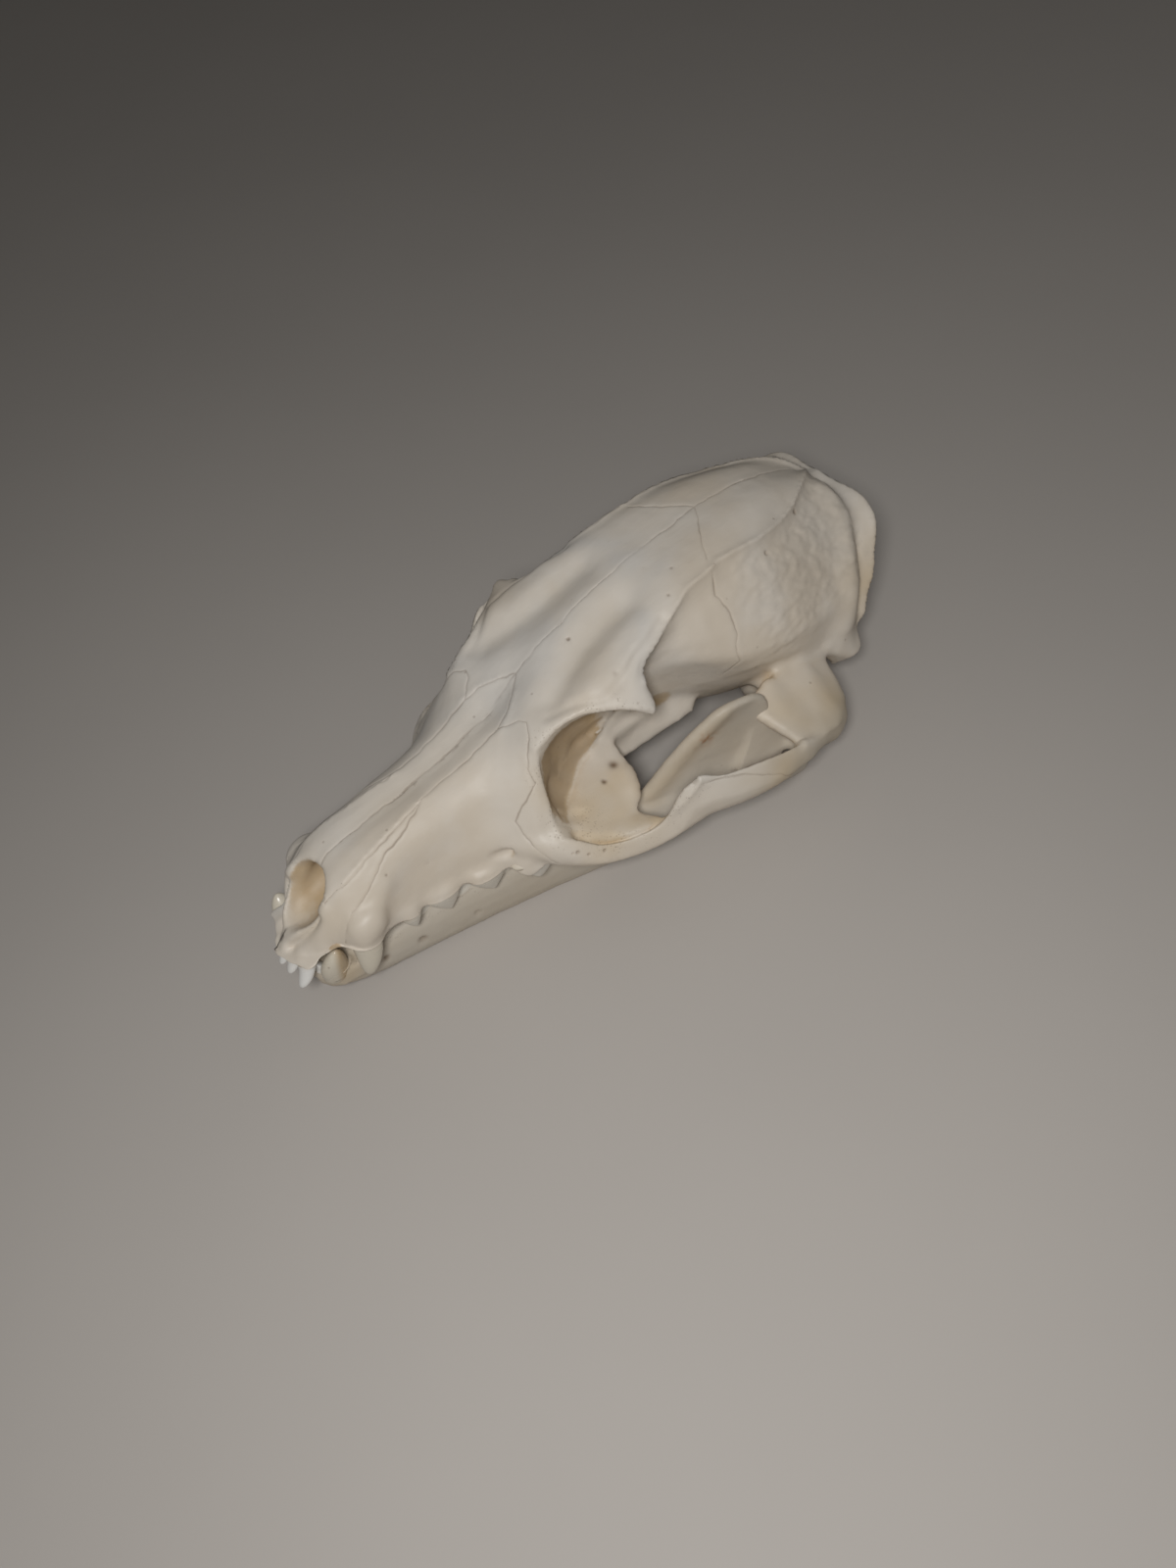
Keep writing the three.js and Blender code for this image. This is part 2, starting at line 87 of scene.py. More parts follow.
# Raised line on the crown where the chewing muscle began
TEMPLE_RIDGE = [
    (84.9, 21.6, 48.6), (89.9, 18.5, 50.9), (94.5, 16.1, 52.4), (102.7, 13.9, 55), (108.2, 13.7, 55.3),
    (112.1, 13.2, 55.5), (122.2, 13.4, 54.2), (130.5, 11.8, 52.8), (135.9, 9.8, 52.2), (139.6, 7.5, 52),
    (146.3, 3.2, 50.4), (150.5, 0, 48),
]
# Rim of the eye socket from the brow round to the cheek
SOCKET_RIM = [
    (83.5, 25.8, 44.6), (78, 21.8, 47), (71, 17.8, 47.6), (66, 16, 46.4), (61, 14.8, 43.4), (59, 17, 37),
    (57, 20.6, 31), (56.4, 24.8, 26.8), (61.8, 28.8, 23.3), (67, 31.3, 22.2), (73, 33.5, 22.8), (78, 35.6, 27.6),
    (83, 37, 32.4),
]
# Points drawn out: place, reach, shift, and the side drawn (1 left, -1 right, 0 both)
PULLS = {
    "brow_tip_left": ((83.5, 25.8, 44.2), 3.2, (-0.3, 0.4, -2.2), 1),
    "brow_tip_right": ((83, 25.4, 44.6), 4.2, (-0.4, 1.6, 1.6), -1),
    "brow_notch": ((88.4, 20.8, 48.4), 4.6, (-2.4, -1.5, 0.2), 0),
    "snout_front": ((2, 5, 23), 5, (0.2, -0.6, 0.5), 0),
    "snout_right": ((6, 8.5, 25), 4, (0.6, -1.8, 0), -1),
    "snout_corner": ((1.2, 4.2, 22.8), 4, (1.7, -1.2, 0), -1),
    "snout_far": ((3.6, 7, 23), 3.6, (0.6, -0.8, 0.3), -1),
    "cheek_tip": ((83.4, 37.2, 32.4), 2, (0.2, 0, 1.4), 1),
    "crest_top": ((155.4, 2, 45.6), 7.5, (-1.4, 0, -1.4), 0),
    "crest_side": ((150.8, 21.2, 36.2), 6, (-1.5, -1.2, 0), 0),
    "crest_low": ((145.4, 24.4, 29), 5, (-1.8, -1.5, 0), 0),
    "crest_end": ((140.6, 25.4, 22.4), 3.5, (-1.2, -2.2, 1.2), 0),
    "arch_under": ((105, 41, 16.8), 5, (0, -2, 0.6), 0),
    "arch_bend_under": ((113, 40.6, 16), 5, (0, -2.4, 0.9), 0),
}
# Sharp edges, or creases where the lift is below nought: path, width, lift
SHARP_EDGES = {
    "nose_rim": ([
        (13.2, 6.3, 33.4), (11.4, 6.1, 31.2), (7.8, 4.7, 29), (4.5, 3.2, 26), (1.2, 1.6, 22.7),
    ], 0.6, 0.25),
    "nasal_edge": ([(17, 6.8, 34.8), (20.5, 6.8, 36.2), (29.6, 5.6, 37.9), (39.2, 4.6, 39.1)], 0.8, 0.35),
    "arch_fold": ([(107.4, 40.8, 24.8), (113, 41.8, 24), (118, 41.6, 22.8)], 0.8, 0.4),
    "arch_root_front": ([(103.2, 26, 28.8), (106.4, 29.4, 28), (107.6, 35.2, 25.6), (107.2, 40.4, 24.6)], 0.7, 0.3),
    "socket_wall": ([
        (62, 18.8, 27.4), (66.2, 16, 27.6), (70.9, 13.2, 28.7), (77.2, 12, 29.6), (81.7, 11, 31.7),
    ], 0.7, -0.5),
    "fronto_nasal_edge": ([(58, 6.6, 43.6), (62, 5.6, 45.2), (66, 2.8, 46.8)], 0.8, 0.25),
}
# Edge of the crest at the back of the skull
CREST_LINE = [
    (140, 25, 21), (145.6, 24, 28.6), (151, 21, 36), (154.4, 15.8, 41), (155.6, 8.4, 44.2), (155.4, 0, 45.8),
]
# Small holes for nerves and blood, cut into the bone: place, radii (aside, along, height), turn about the height
NERVE_HOLES = [
    ((45.8, 17.2, 25), (1.1, 3.6, 1.5), -0.35), ((84, 10.6, 33), (3, 1.5, 1.1), 0),
    ((88.5, 11, 30.2), (3.2, 1.8, 1.3), 0), ((60.1, 19.7, 28.8), (0.6, 0.6, 1.6), 0),
    ((120.6, 23.2, 17.4), (4.5, 2.3, 2.1), 0), ((134.4, 12.6, 17.2), (1.6, 2.2, 3), 0),
]
# Pinholes, on the left side only: place and radius
PINHOLES = [
    ((136.2, 10.9, 51.2), 0.55), ((123.4, 15.7, 51.5), 0.45), ((100.5, 4.4, 56.2), 0.35), ((104, 8.9, 56.6), 0.35),
    ((99.3, 13, 55.3), 0.35), ((80.1, 3.9, 51.7), 0.35), ((80.9, 17.2, 50.6), 0.6), ((24.7, 10.1, 33.2), 0.3),
    ((18.2, 12, 28.4), 0.4), ((33, 11.6, 29.6), 0.3), ((56.5, 27.3, 24.7), 0.2), ((57.4, 27.7, 24.6), 0.35),
    ((59.1, 28.8, 23.3), 0.25), ((62.2, 29.9, 22.6), 0.3), ((81.4, 36.7, 33.3), 0.8), ((76, 17.2, 26.6), 0.95),
    ((71.9, 19, 26.4), 0.55), ((60.1, 19.7, 28.6), 0.7),
]
# Lumps added before the surface is made fine: place, radii (aside, along, height)
EXTRA_BONE = [((16.6, 11.8, 26.6), (3.3, 4.7, 4)), ((149, 6.4, 19.6), (2.6, 3.4, 4.2))]
# Wedges of bone, each the tightest solid around its corners
WEDGES = {
    "socket_floor": [
        (60, 17, 27), (60, 25.5, 25.2), (68, 27, 23.6), (73.6, 27.6, 22.9), (76.2, 26, 24.2), (77.8, 22.2, 25.2),
        (79.4, 17.6, 26), (80.4, 12, 28), (66, 12.5, 29), (60, 16, 21.4), (61, 25, 21.4), (68, 26, 21.2),
        (75.6, 25.2, 22.2), (78.6, 17, 23.4), (79.6, 11.5, 24.6),
    ],
    "ear_flange": [
        (142.4, 24.4, 27.6), (140.2, 27.6, 22.4), (138.6, 29, 20.8), (135.4, 29.2, 20.4), (131, 28.2, 24),
        (128, 27, 28), (139, 24, 17), (133, 24, 16), (130, 23, 24), (140, 21, 26),
    ],
    "socket_ledge": [
        (60, 24, 24.4), (60, 28, 22.4), (66, 30.6, 21.4), (72, 32.6, 21.4), (78.6, 33, 23.2), (73.7, 28, 22.2),
        (68, 25, 23), (60, 24, 21.6), (60, 28, 20), (66, 30.4, 19.4), (72, 32.4, 19.4), (78.2, 32.8, 21.6),
        (73.7, 28, 20.6),
    ],
    "throat_plate": [
        (72, 10.6, 22), (72, 8.8, 22), (98, 11, 18.4), (98, 9.2, 18.4), (90, 10.8, 17.8), (90, 9, 17.8),
        (72, 12, 28), (72, 8, 28), (100, 13, 28), (100, 9, 28),
    ],
    "throat_wing": [
        (80.5, 12.3, 18.8), (86, 12.9, 19.6), (93.9, 14.4, 21.4), (100.3, 16.3, 22.6), (80, 10.5, 24), (86, 11, 26),
        (94, 12, 27), (101, 14, 28), (80.5, 10.6, 18.2), (86, 10.9, 18.8), (94, 11.5, 20.2), (100.3, 12.5, 21.2),
    ],
    "arch_root": [
        (103.2, 26, 28.8), (104.4, 26.2, 26.4), (106.4, 29.4, 28), (107.6, 35.2, 25.6), (107.2, 40.4, 24.6),
        (114, 41.6, 23.8), (119, 41, 22.6), (124, 36.4, 22.4), (122, 27.5, 28.6), (112, 25.5, 31),
        (108.2, 28.6, 25.8), (109, 35, 22.8), (108.4, 40.2, 21.4), (114, 41.2, 19.5), (119, 40.4, 18.6),
        (123.4, 36, 19.2), (121, 27, 23.6), (112, 25.6, 25.6),
    ],
}
# Deep hollows: place, radii, tilt of the long axis
DEEP_HOLLOWS = [
    ((11.7, 0, 33), (5.7, 4.8, 4.8), 0.74), ((9.4, 0, 31), (4.2, 5, 4.6), 0.74), ((17, 0, 30), (4.8, 12, 4), 0.22),
    ((67.2, 19.6, 35.6), (6.2, 7.6, 8.2), 0), ((64.6, 20, 31.6), (6.4, 5.8, 5), 0),
    ((62.6, 22.6, 29), (4.2, 3.9, 3.4), 0), ((74, 17.8, 37.4), (4.6, 8.5, 7.2), 0),
]
# Deep hollow under the brow, the tightest solid around its corners
SOCKET_HOLLOW = [
    (60.2, 17.6, 30.2), (66, 13, 30.6), (72, 10, 31), (80.5, 10.2, 31.6), (61.5, 17.2, 40), (67, 14.4, 43.6),
    (76, 13.4, 44), (82, 13.8, 43), (62, 24, 34), (70, 27, 31), (80, 24, 33), (78, 23, 41), (66, 21, 42),
]
# Cheek arch: distance, middle aside, lower edge, upper edge
ARCH_BLADE = [
    (56, 26.2, 19.3, 26.8), (60, 28, 18.1, 25.3), (64, 29.9, 17.5, 22.5), (68, 31.8, 17.3, 22),
    (72, 33.2, 17.4, 22.3), (76, 34.6, 18.1, 25.4), (80, 36, 19.3, 31.5), (84, 37.4, 20.6, 32.2),
    (88, 38.8, 20.5, 31.2), (92, 39.8, 20, 30.3), (96, 40.6, 19.5, 29.4), (100, 41, 18.3, 28.3),
    (104, 41.2, 17, 26.8), (108, 41, 15.8, 25.3), (112, 40.4, 15, 24),
]
# Broad swellings and hollows: path, reach, lift
SWELLINGS = {
    "fang_root": ([(14.6, 13, 24.4), (18.5, 12.2, 28), (23.5, 10.8, 31.6)], 2.4, 0.7),
    "cheek_hollow": ([(28, 11.6, 28.8), (38, 12.6, 30.2), (47, 14.6, 33)], 5, -0.7),
    "nasal_groove": ([(24, 0, 37.4), (46, 0, 39.6), (60, 0, 43.2)], 2.6, -0.35),
    "brow_hollow": ([(60, 0, 43.6), (66, 0, 46.2), (70, 0, 47.8)], 3.5, -0.5),
    "brow_middle": ([(72, 0, 48.4), (80, 0, 51.4), (90, 0, 54), (100, 0, 56)], 4.5, 0.9),
    "brow_valley": ([(92, 7.6, 55), (86, 7.8, 54), (80, 8.2, 52.4), (74, 9.6, 50.6), (69, 11.4, 48.8)], 4, -1.8),
    "brow_edge": ([(90, 16, 52), (83, 17.6, 50.6), (76, 16.6, 49.8)], 3, 0.5),
    "behind_brow": ([(89, 15, 47.5), (95, 15.4, 46.5)], 4, -0.6),
    "below_ridge": ([
        (92, 18.6, 48.4), (102, 16.8, 52), (112, 16.4, 53), (124, 16.4, 52), (134, 13.4, 50), (142, 8.4, 48.6),
    ], 2.4, -0.45),
    "rear_bulge": ([
        (148, 7, 46.8), (147.8, 13.2, 43.2), (144.4, 18.4, 39.6), (139.4, 23.4, 35), (135, 25.8, 28.6),
    ], 3.6, 1.7),
    "before_crest": ([
        (152.4, 3, 46), (152.4, 8, 44.2), (150.4, 14.5, 41.4), (147.3, 19.8, 37.2), (144.2, 23.6, 33.2),
        (141.2, 25.4, 28.4),
    ], 1.5, -0.45),
    "occiput_ridge": ([(154.6, 0, 43), (153.4, 0, 36), (150.8, 0, 30)], 1.5, 0.9),
    "occiput_dish": ([(153.2, 7, 38), (150, 9, 31)], 3.6, -0.7),
    "root_crest": ([(99.5, 18.8, 30.5), (106.8, 24, 33.2), (112, 26.4, 34.2), (120, 27.4, 33)], 1.4, 0.5),
    "gum_edge": ([
        (20, 13.6, 21.5), (32, 14.2, 21.3), (42, 17.2, 21.8), (50, 21.4, 22.2), (58, 23.8, 22.2),
    ], 1.6, -0.3),
    "snout_edge": ([
        (12, 6.8, 31.5), (8.5, 7.8, 29.5), (6.3, 8.2, 27.7), (4, 8.1, 25.9), (2.4, 6.8, 23.4),
    ], 1.2, 0.5),
    "snout_groove": ([(9.6, 6.3, 29.9), (6.4, 6, 27.7), (4.2, 5.3, 25.5), (2.4, 3.9, 23.5)], 1.1, -1.2),
    "fang_notch": ([(8.4, 10.6, 21.5), (9, 11, 23.5)], 2.2, -0.9),
    "brow_lip_groove": ([
        (95, 15.8, 53.4), (88.4, 17.8, 51.8), (82.5, 19, 50.2), (79.6, 19.2, 49.6), (76.3, 19.2, 48.8),
        (73.1, 17.2, 48.9), (70.1, 15.6, 48.8), (66, 13.2, 48),
    ], 1.25, -0.65),
    "rim_inside": ([
        (59.4, 24.6, 25.4), (62.6, 27.4, 23.8), (66, 29, 22.4), (70, 30.6, 21.6), (75.6, 32, 22.4),
    ], 1.3, -1.3),
    "socket_lobe": ([(76.4, 23, 24.8), (77.4, 20.4, 25.4)], 2.4, 0.9),
    "arch_root_dish": ([(114, 30.5, 27.6), (114, 36, 24.6)], 3.4, -0.6),
}
# Height of the gum along the upper tooth row
UPPER_GUM = [
    (0, 22.4), (4, 22.7), (7, 23.6), (9.5, 24.6), (11.6, 24.6), (13.7, 23.6), (16.6, 22.2), (20, 21.3), (26, 20.8),
    (30, 20.6), (36, 20.6), (42, 20.8), (50, 21.2), (58, 21.4), (65, 22.4), (73, 23.8),
]
# Outer edge of the upper tooth row
UPPER_ROW_EDGE = [
    (0, 10.5), (8, 12.5), (15, 16.5), (25, 15.6), (33, 16.2), (43, 19.6), (53, 24.6), (58, 25.4), (63, 25.6),
    (73, 23.6),
]
# Height of the gum along the lower tooth row
LOWER_GUM = [(3, 14.5), (7, 15), (13, 14.3), (24, 13.5), (40, 13.5), (55, 14.1), (66, 14.5), (74, 15.4)]
# Swellings and hollows of the lower jaws: path, reach, lift
MANDIBLE_SWELLINGS = {
    "muscle_hollow": ([(92, 27, 14), (100, 29.4, 20), (102, 30, 26)], 5.5, -0.5),
    "front_band": ([(80, 23, 17.6), (86, 25.4, 23.4), (92, 27.2, 29), (97, 28.6, 33)], 1.9, 0.45),
    "hinge_ridge": ([(96, 28, 10), (104, 29.6, 12), (110, 30.6, 14)], 1.8, 0.4),
    "chin": ([(8, 7, 9), (14, 8, 8)], 3, 0.3),
}
# Wedges of bone on the lower jaws
JAW_WEDGES = {
    "chin_front": [
        (3.8, 3, 8.4), (3.8, 3, 13), (4.8, 6.4, 8.8), (4.6, 6.8, 13), (7, 8.2, 9.2), (7, 8.9, 13.4), (11, 8.8, 9),
        (11, 9.4, 13.6), (16, 8, 8), (16, 8.6, 13.4), (16, 4, 8), (10, 3, 8),
    ],
    "ramus_rear": [
        (98, 28.2, 14), (98, 30.2, 14), (113, 29.6, 13), (113, 32.2, 13), (106.5, 28.4, 29), (106.5, 30.2, 29),
        (110.5, 29, 25), (110.5, 30.8, 25), (113.6, 29.8, 20), (113.6, 31.8, 20),
    ],
}
# Holes on the outside of the lower jaws: place and radius
CHIN_HOLES = [((17, 8.4, 8.4), 0.8), ((25.5, 9.7, 7.2), 0.8), ((38, 12.6, 6.4), 0.6)]

# Teeth: distance, aside, gum height, length, breadth, crown height, lean back, lean out, cusps.
# A cusp is its place along and across the crown, its share of the height and its reach.
BLADE = [(0, 0, 1, 1.15), (0.68, 0, 0.42, 0.4), (-0.74, 0, 0.3, 0.34)]
PEG_CUSP = [(-0.05, 0, 1, 1.25)]
UPPER_SHEAR = [(-0.2, 0.1, 1, 0.75), (0.5, 0.1, 0.66, 0.7), (-0.8, -0.5, 0.34, 0.5)]
UPPER_GRINDER = [(-0.42, 0.5, 1, 0.75), (0.42, 0.5, 0.84, 0.75), (-0.1, -0.5, 0.6, 0.75), (0.4, -0.6, 0.4, 0.6)]
LOWER_SHEAR = [
    (-0.55, 0, 0.76, 0.6), (-0.05, 0.1, 1, 0.65), (0.12, -0.5, 0.6, 0.5), (0.68, 0.2, 0.46, 0.5),
    (0.68, -0.4, 0.42, 0.5),
]
LOWER_GRINDER = [(-0.4, 0.3, 1, 0.7), (0.45, 0.3, 0.8, 0.7), (0, -0.5, 0.7, 0.8)]
UPPER_TEETH = {
    "incisor_1": (1.6, 1.2, 22.2, 2.6, 2.3, 3.6, -1.9, 0, "peg"),
    "incisor_2": (2.1, 3.7, 22.2, 2.9, 2.8, 4, -2.2, 0.3, "peg"),
    "incisor_3": (3.4, 6.4, 22.2, 3.6, 3.3, 6.2, -3.3, 0.8, "peg"),
    "fang": (15, 11.7, 24.6, 6.2, 4.7, 11.4, -2.6, 1.2, "fang"),
    "premolar_1": (25.2, 12, 20.8, 4.8, 3.2, 5, 0.2, 0.2, PEG_CUSP),
    "premolar_2": (33, 12.4, 20.6, 9, 3.5, 6.4, 0.2, 0.3, BLADE),
    "premolar_3": (42.6, 15, 20.8, 9.8, 3.9, 6.6, 0.2, 0.3, BLADE),
    "shear": (53.4, 19.9, 21.4, 15, 5.6, 7.1, -0.6, 0.6, UPPER_SHEAR),
    "grinder_1": (63, 20.7, 22.6, 9.4, 7.8, 4.9, 0, 0.6, UPPER_GRINDER),
    "grinder_2": (69.6, 18.4, 23.8, 5.8, 7, 4.5, 0, 0.6, UPPER_GRINDER),
}
LOWER_TEETH = {
    "incisor_1": (3.2, 1.5, 13.8, 2.5, 2.2, 3.8, -0.8, 0, "spade"),
    "incisor_2": (3.9, 3.5, 14, 2.7, 2.4, 3.8, -0.8, 0.2, "spade"),
    "incisor_3": (5.2, 5, 14.2, 2.9, 2.4, 3.6, -0.4, 0.2, "spade"),
    "fang": (7.2, 6.7, 12.6, 6, 4.8, 9.4, 1.7, 2.3, "fang"),
    "premolar_1": (20.6, 5.6, 13.2, 4, 3, 3, 0, 0, PEG_CUSP),
    "premolar_2": (28.6, 7.2, 13, 7.4, 3.2, 4.4, 0, 0, BLADE),
    "premolar_3": (37.6, 9.2, 13, 8.4, 3.4, 4.8, 0, 0, BLADE),
    "premolar_4": (47, 11.4, 13, 9.2, 3.6, 5.6, 0, 0, BLADE),
    "shear": (58.8, 13.8, 13.6, 15, 4.6, 6.4, -0.9, -0.3, LOWER_SHEAR),
    "grinder": (70.2, 17.8, 14.4, 7.4, 4.6, 3.6, 0, 0, LOWER_GRINDER),
}
# Teeth of the right side that stand otherwise than their fellows on the left
RIGHT_UPPER_TEETH = {
    "incisor_1": (2.8, 1, 22.2, 2.4, 2, 3.4, -1.5, 0, "peg"),
    "incisor_2": (4.4, 2.8, 22.2, 2.6, 2.4, 3.8, -1.4, 0.2, "peg"),
    "incisor_3": (6.6, 4.8, 22.2, 3.2, 2.8, 5, -2, 0.4, "peg"),
}
RIGHT_LOWER_TEETH = {"fang": (6.6, 7.8, 11.8, 6.6, 5.4, 10.4, 0.6, 3.6, "fang")}
# How white each crown is, from dentine to enamel, and for the others
WHITENESS = {"incisor_1": 0.9, "incisor_2": 0.9, "incisor_3": 1, "fang": 0.0}
PLAIN_WHITENESS = 0.3
# How far each tooth turns to follow the curve of its row
ROW_TURN = 0.55

# Stains, and painted shade in the hollows: place and size
# The warm spot before the side of the crest is painted shade where the braincase turns from the light; the other spots
# are real stains.
WARM_STAINS_AND_CREST_SHADE = [((66, 23, 25), 9), ((64, 27.6, 23.4), 5), ((71, 30, 22), 5), ((76, 22, 25), 7), ((62, 17, 33), 6),
               ((112, 33, 27), 8), ((119, 36, 23), 7), ((12, 0, 28), 7), ((146, 20, 32), 9), ((100, 40, 24), 8)]
# Real browning with painted shade over it in the hollows of the eye socket, the nose and behind the socket; the shade
# is laid only where nearby bone shelters them
DEEP_STAINS_AND_SHADE = [((62, 15.5, 34), 7), ((71, 11.5, 37), 7.5), ((12.5, 1, 30.5), 6.5), ((92, 13.5, 32), 3.2)]
SOCKET_PORES = ((62.5, 24, 25.5), 4.5)
SOCKET_HONEY = ((68, 23, 25), (9.5, 7, 3))
# Painted shade on the front wall of the eye socket, over some real browning: middle and size
SOCKET_WALL_SHADE = ((67, 15, 35), 13)
# Painted shade: a brown patch behind the eye socket, where bone in shadow shows through a gap: middle and radii
TEMPLE_GAP_SHADE = ((93.4, 12.6, 29.4), (3, 3, 2.2))
JAW_RUST = ((93, 27.6, 28.6), 2)
JAW_HONEY = ((9, 7.5, 12), 4)
# Bone under the teeth is brought to the gum as far back as the rows go, apart from a small share
UPPER_ROW_END, LOWER_ROW_END = 73.5, 74
UPPER_LEFTOVER, LOWER_LEFTOVER = 0.08, 0.06
# The crest is thinned where it stands out from this point, by a share, within a width
CREST_HEART, CREST_THINNING, CREST_WIDTH = (138, 0, 26), 0.62, 3.6
PINHOLE_DEPTH, CHIN_HOLE_DEPTH = 0.35, 0.8
# Faces are divided within these distances of the sutures and pinholes, coarse to fine
FINE_BANDS = (1.0, 0.45)
# A suture's path is read only this close above or below the surface
SEAM_DEPTH = 2.5
FAR = 1e6
# How far nearby bone shelters a point of the upper skull and of the lower jaws for the painted shade in the hollows, in
# metres
SHELTER_REACH, JAW_SHELTER_REACH = 0.012, 0.010
TINY = 1e-6
# Rays sent out from each point to see what shelters it, how far they lean over, and their start off the bone
SHELTER_RAYS, SHELTER_LEAN, SHELTER_START = 10, 0.85, 0.0003
# The cutter of the hollows is finer than the bone by this share
CUTTER_SHARE = 0.7

# Lights and sky of the stage, in metres
KEY_AT, KEY_SIZE = (0.186, -0.120, 0.279), 0.06
FILL_AT, FILL_SIZE = (0.25, 0.15, 0.95), 1.2
LIGHTS_AIM = (0, 0, 0.03)
SKY_COLOUR = (1.0, 0.985, 0.96)
SENSOR_WIDTH = 36.0
NEAREST_VIEW = 0.01

# The photograph's view, in skull places: where the camera is and which way its picture's right and up point
CAMERA_AT = (-5.235, 157.821, 223.704)
CAMERA_RIGHT = (0.62671, 0.76274, -0.15956)
CAMERA_UP = (-0.54669, 0.57628, 0.60749)


def place(along, aside, height):
    """Skull place in millimetres to a point of the model in metres."""
    return Vector((aside, along - MIDDLE_ALONG, height)) * MM


def profile(stations, at):
    """Values read off a row of stations."""
    rows = np.array(stations, float)
    return np.interp(at, rows[:, 0], rows[:, 1])


def new_piece(name, mesh):
    piece = bpy.data.objects.new(name, mesh)
    bpy.context.scene.collection.objects.link(piece)
    return piece


def piece_from(name, bm):
    mesh = bpy.data.meshes.new(name)
    bm.to_mesh(mesh)
    bm.free()
    return new_piece(name, mesh)


def settle(piece):
    """Makes a piece's modifiers part of its mesh."""
    graph = bpy.context.evaluated_depsgraph_get()
    mesh = bpy.data.meshes.new_from_object(piece.evaluated_get(graph))
    old = piece.data
    piece.modifiers.clear()
    piece.data = mesh
    mesh.name = piece.name
    bpy.data.meshes.remove(old)


def add_ball(bm, at, radii, turn=0.0, tilt=0.0, segments=24):
    """Egg shape at a skull place; radii are aside, along and height."""
    shape = Matrix.Translation(place(*at)) @ Matrix.Rotation(turn, 4, "Z") @ Matrix.Rotation(tilt, 4, "X")
    shape = shape @ Matrix.Diagonal(Vector(radii) * MM).to_4x4()
    return bmesh.ops.create_uvsphere(bm, u_segments=segments, v_segments=segments // 2, radius=1, matrix=shape)


def mirrored(at):
    return (at[0], -at[1], at[2])


def both_sides(rows):
    """Each row of place, radii and angle, and its mirror image."""
    for at, radii, angle in rows:
        yield at, radii, angle
        if at[1]:
            yield mirrored(at), radii, -angle


def add_wedge(bm, corners, side):
    """The tightest solid around its corners, on the left (1) or right (-1) side."""
    bmesh.ops.convex_hull(bm, input=[bm.verts.new(place(at[0], side * at[1], at[2])) for at in corners])


def fused_copy(name, nodes, swell, extra, wedges, sides=(1, -1)):
    """One loose mesh of merged copies of solid nodes, swollen a little so that their narrow gaps close."""
    bm = bmesh.new()
    for node in nodes:
        part = bmesh.new()
        part.from_mesh(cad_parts[node].data)
        bmesh.ops.remove_doubles(part, verts=part.verts, dist=TINY)
        part.normal_update()
        for vert, normal in [(v, v.normal.copy()) for v in part.verts]:
            vert.co += normal * swell
        copy = bpy.data.meshes.new("copy")
        part.to_mesh(copy)
        part.free()
        bm.from_mesh(copy)
        bpy.data.meshes.remove(copy)
    for at, radii in extra:
        add_ball(bm, at, radii)
        add_ball(bm, mirrored(at), radii)
    for corners in wedges:
        for side in sides:
            add_wedge(bm, corners, side)
    return piece_from(name, bm)


def make_fine(piece, grain, rounds):
    """Fuses a piece's shells into one even surface and rounds off its facets."""
    remesh = piece.modifiers.new("fuse", "REMESH")
    remesh.mode = "VOXEL"
    remesh.voxel_size = grain
    smooth = piece.modifiers.new("round", "SMOOTH")
    smooth.factor = 0.5
    smooth.iterations = rounds
    settle(piece)


def shade_smooth(mesh):
    mesh.polygons.foreach_set("use_smooth", np.ones(len(mesh.polygons), bool))


def ramp(values, start, end):
    """Share that grows from 0 at the start value to 1 at the end value."""
    return np.clip((values - start) / (end - start), 0, 1)


def stretches(path, points):
    """Each straight stretch of a path: its start, its step and every point's gap from it."""
    stops = np.array(path, float)
    for start, end in zip(stops[:-1], stops[1:]):
        step = end - start
        share = np.clip(((points - start) @ step) / (step @ step), 0, 1)
        yield start, step, points - start - share[:, None] * step


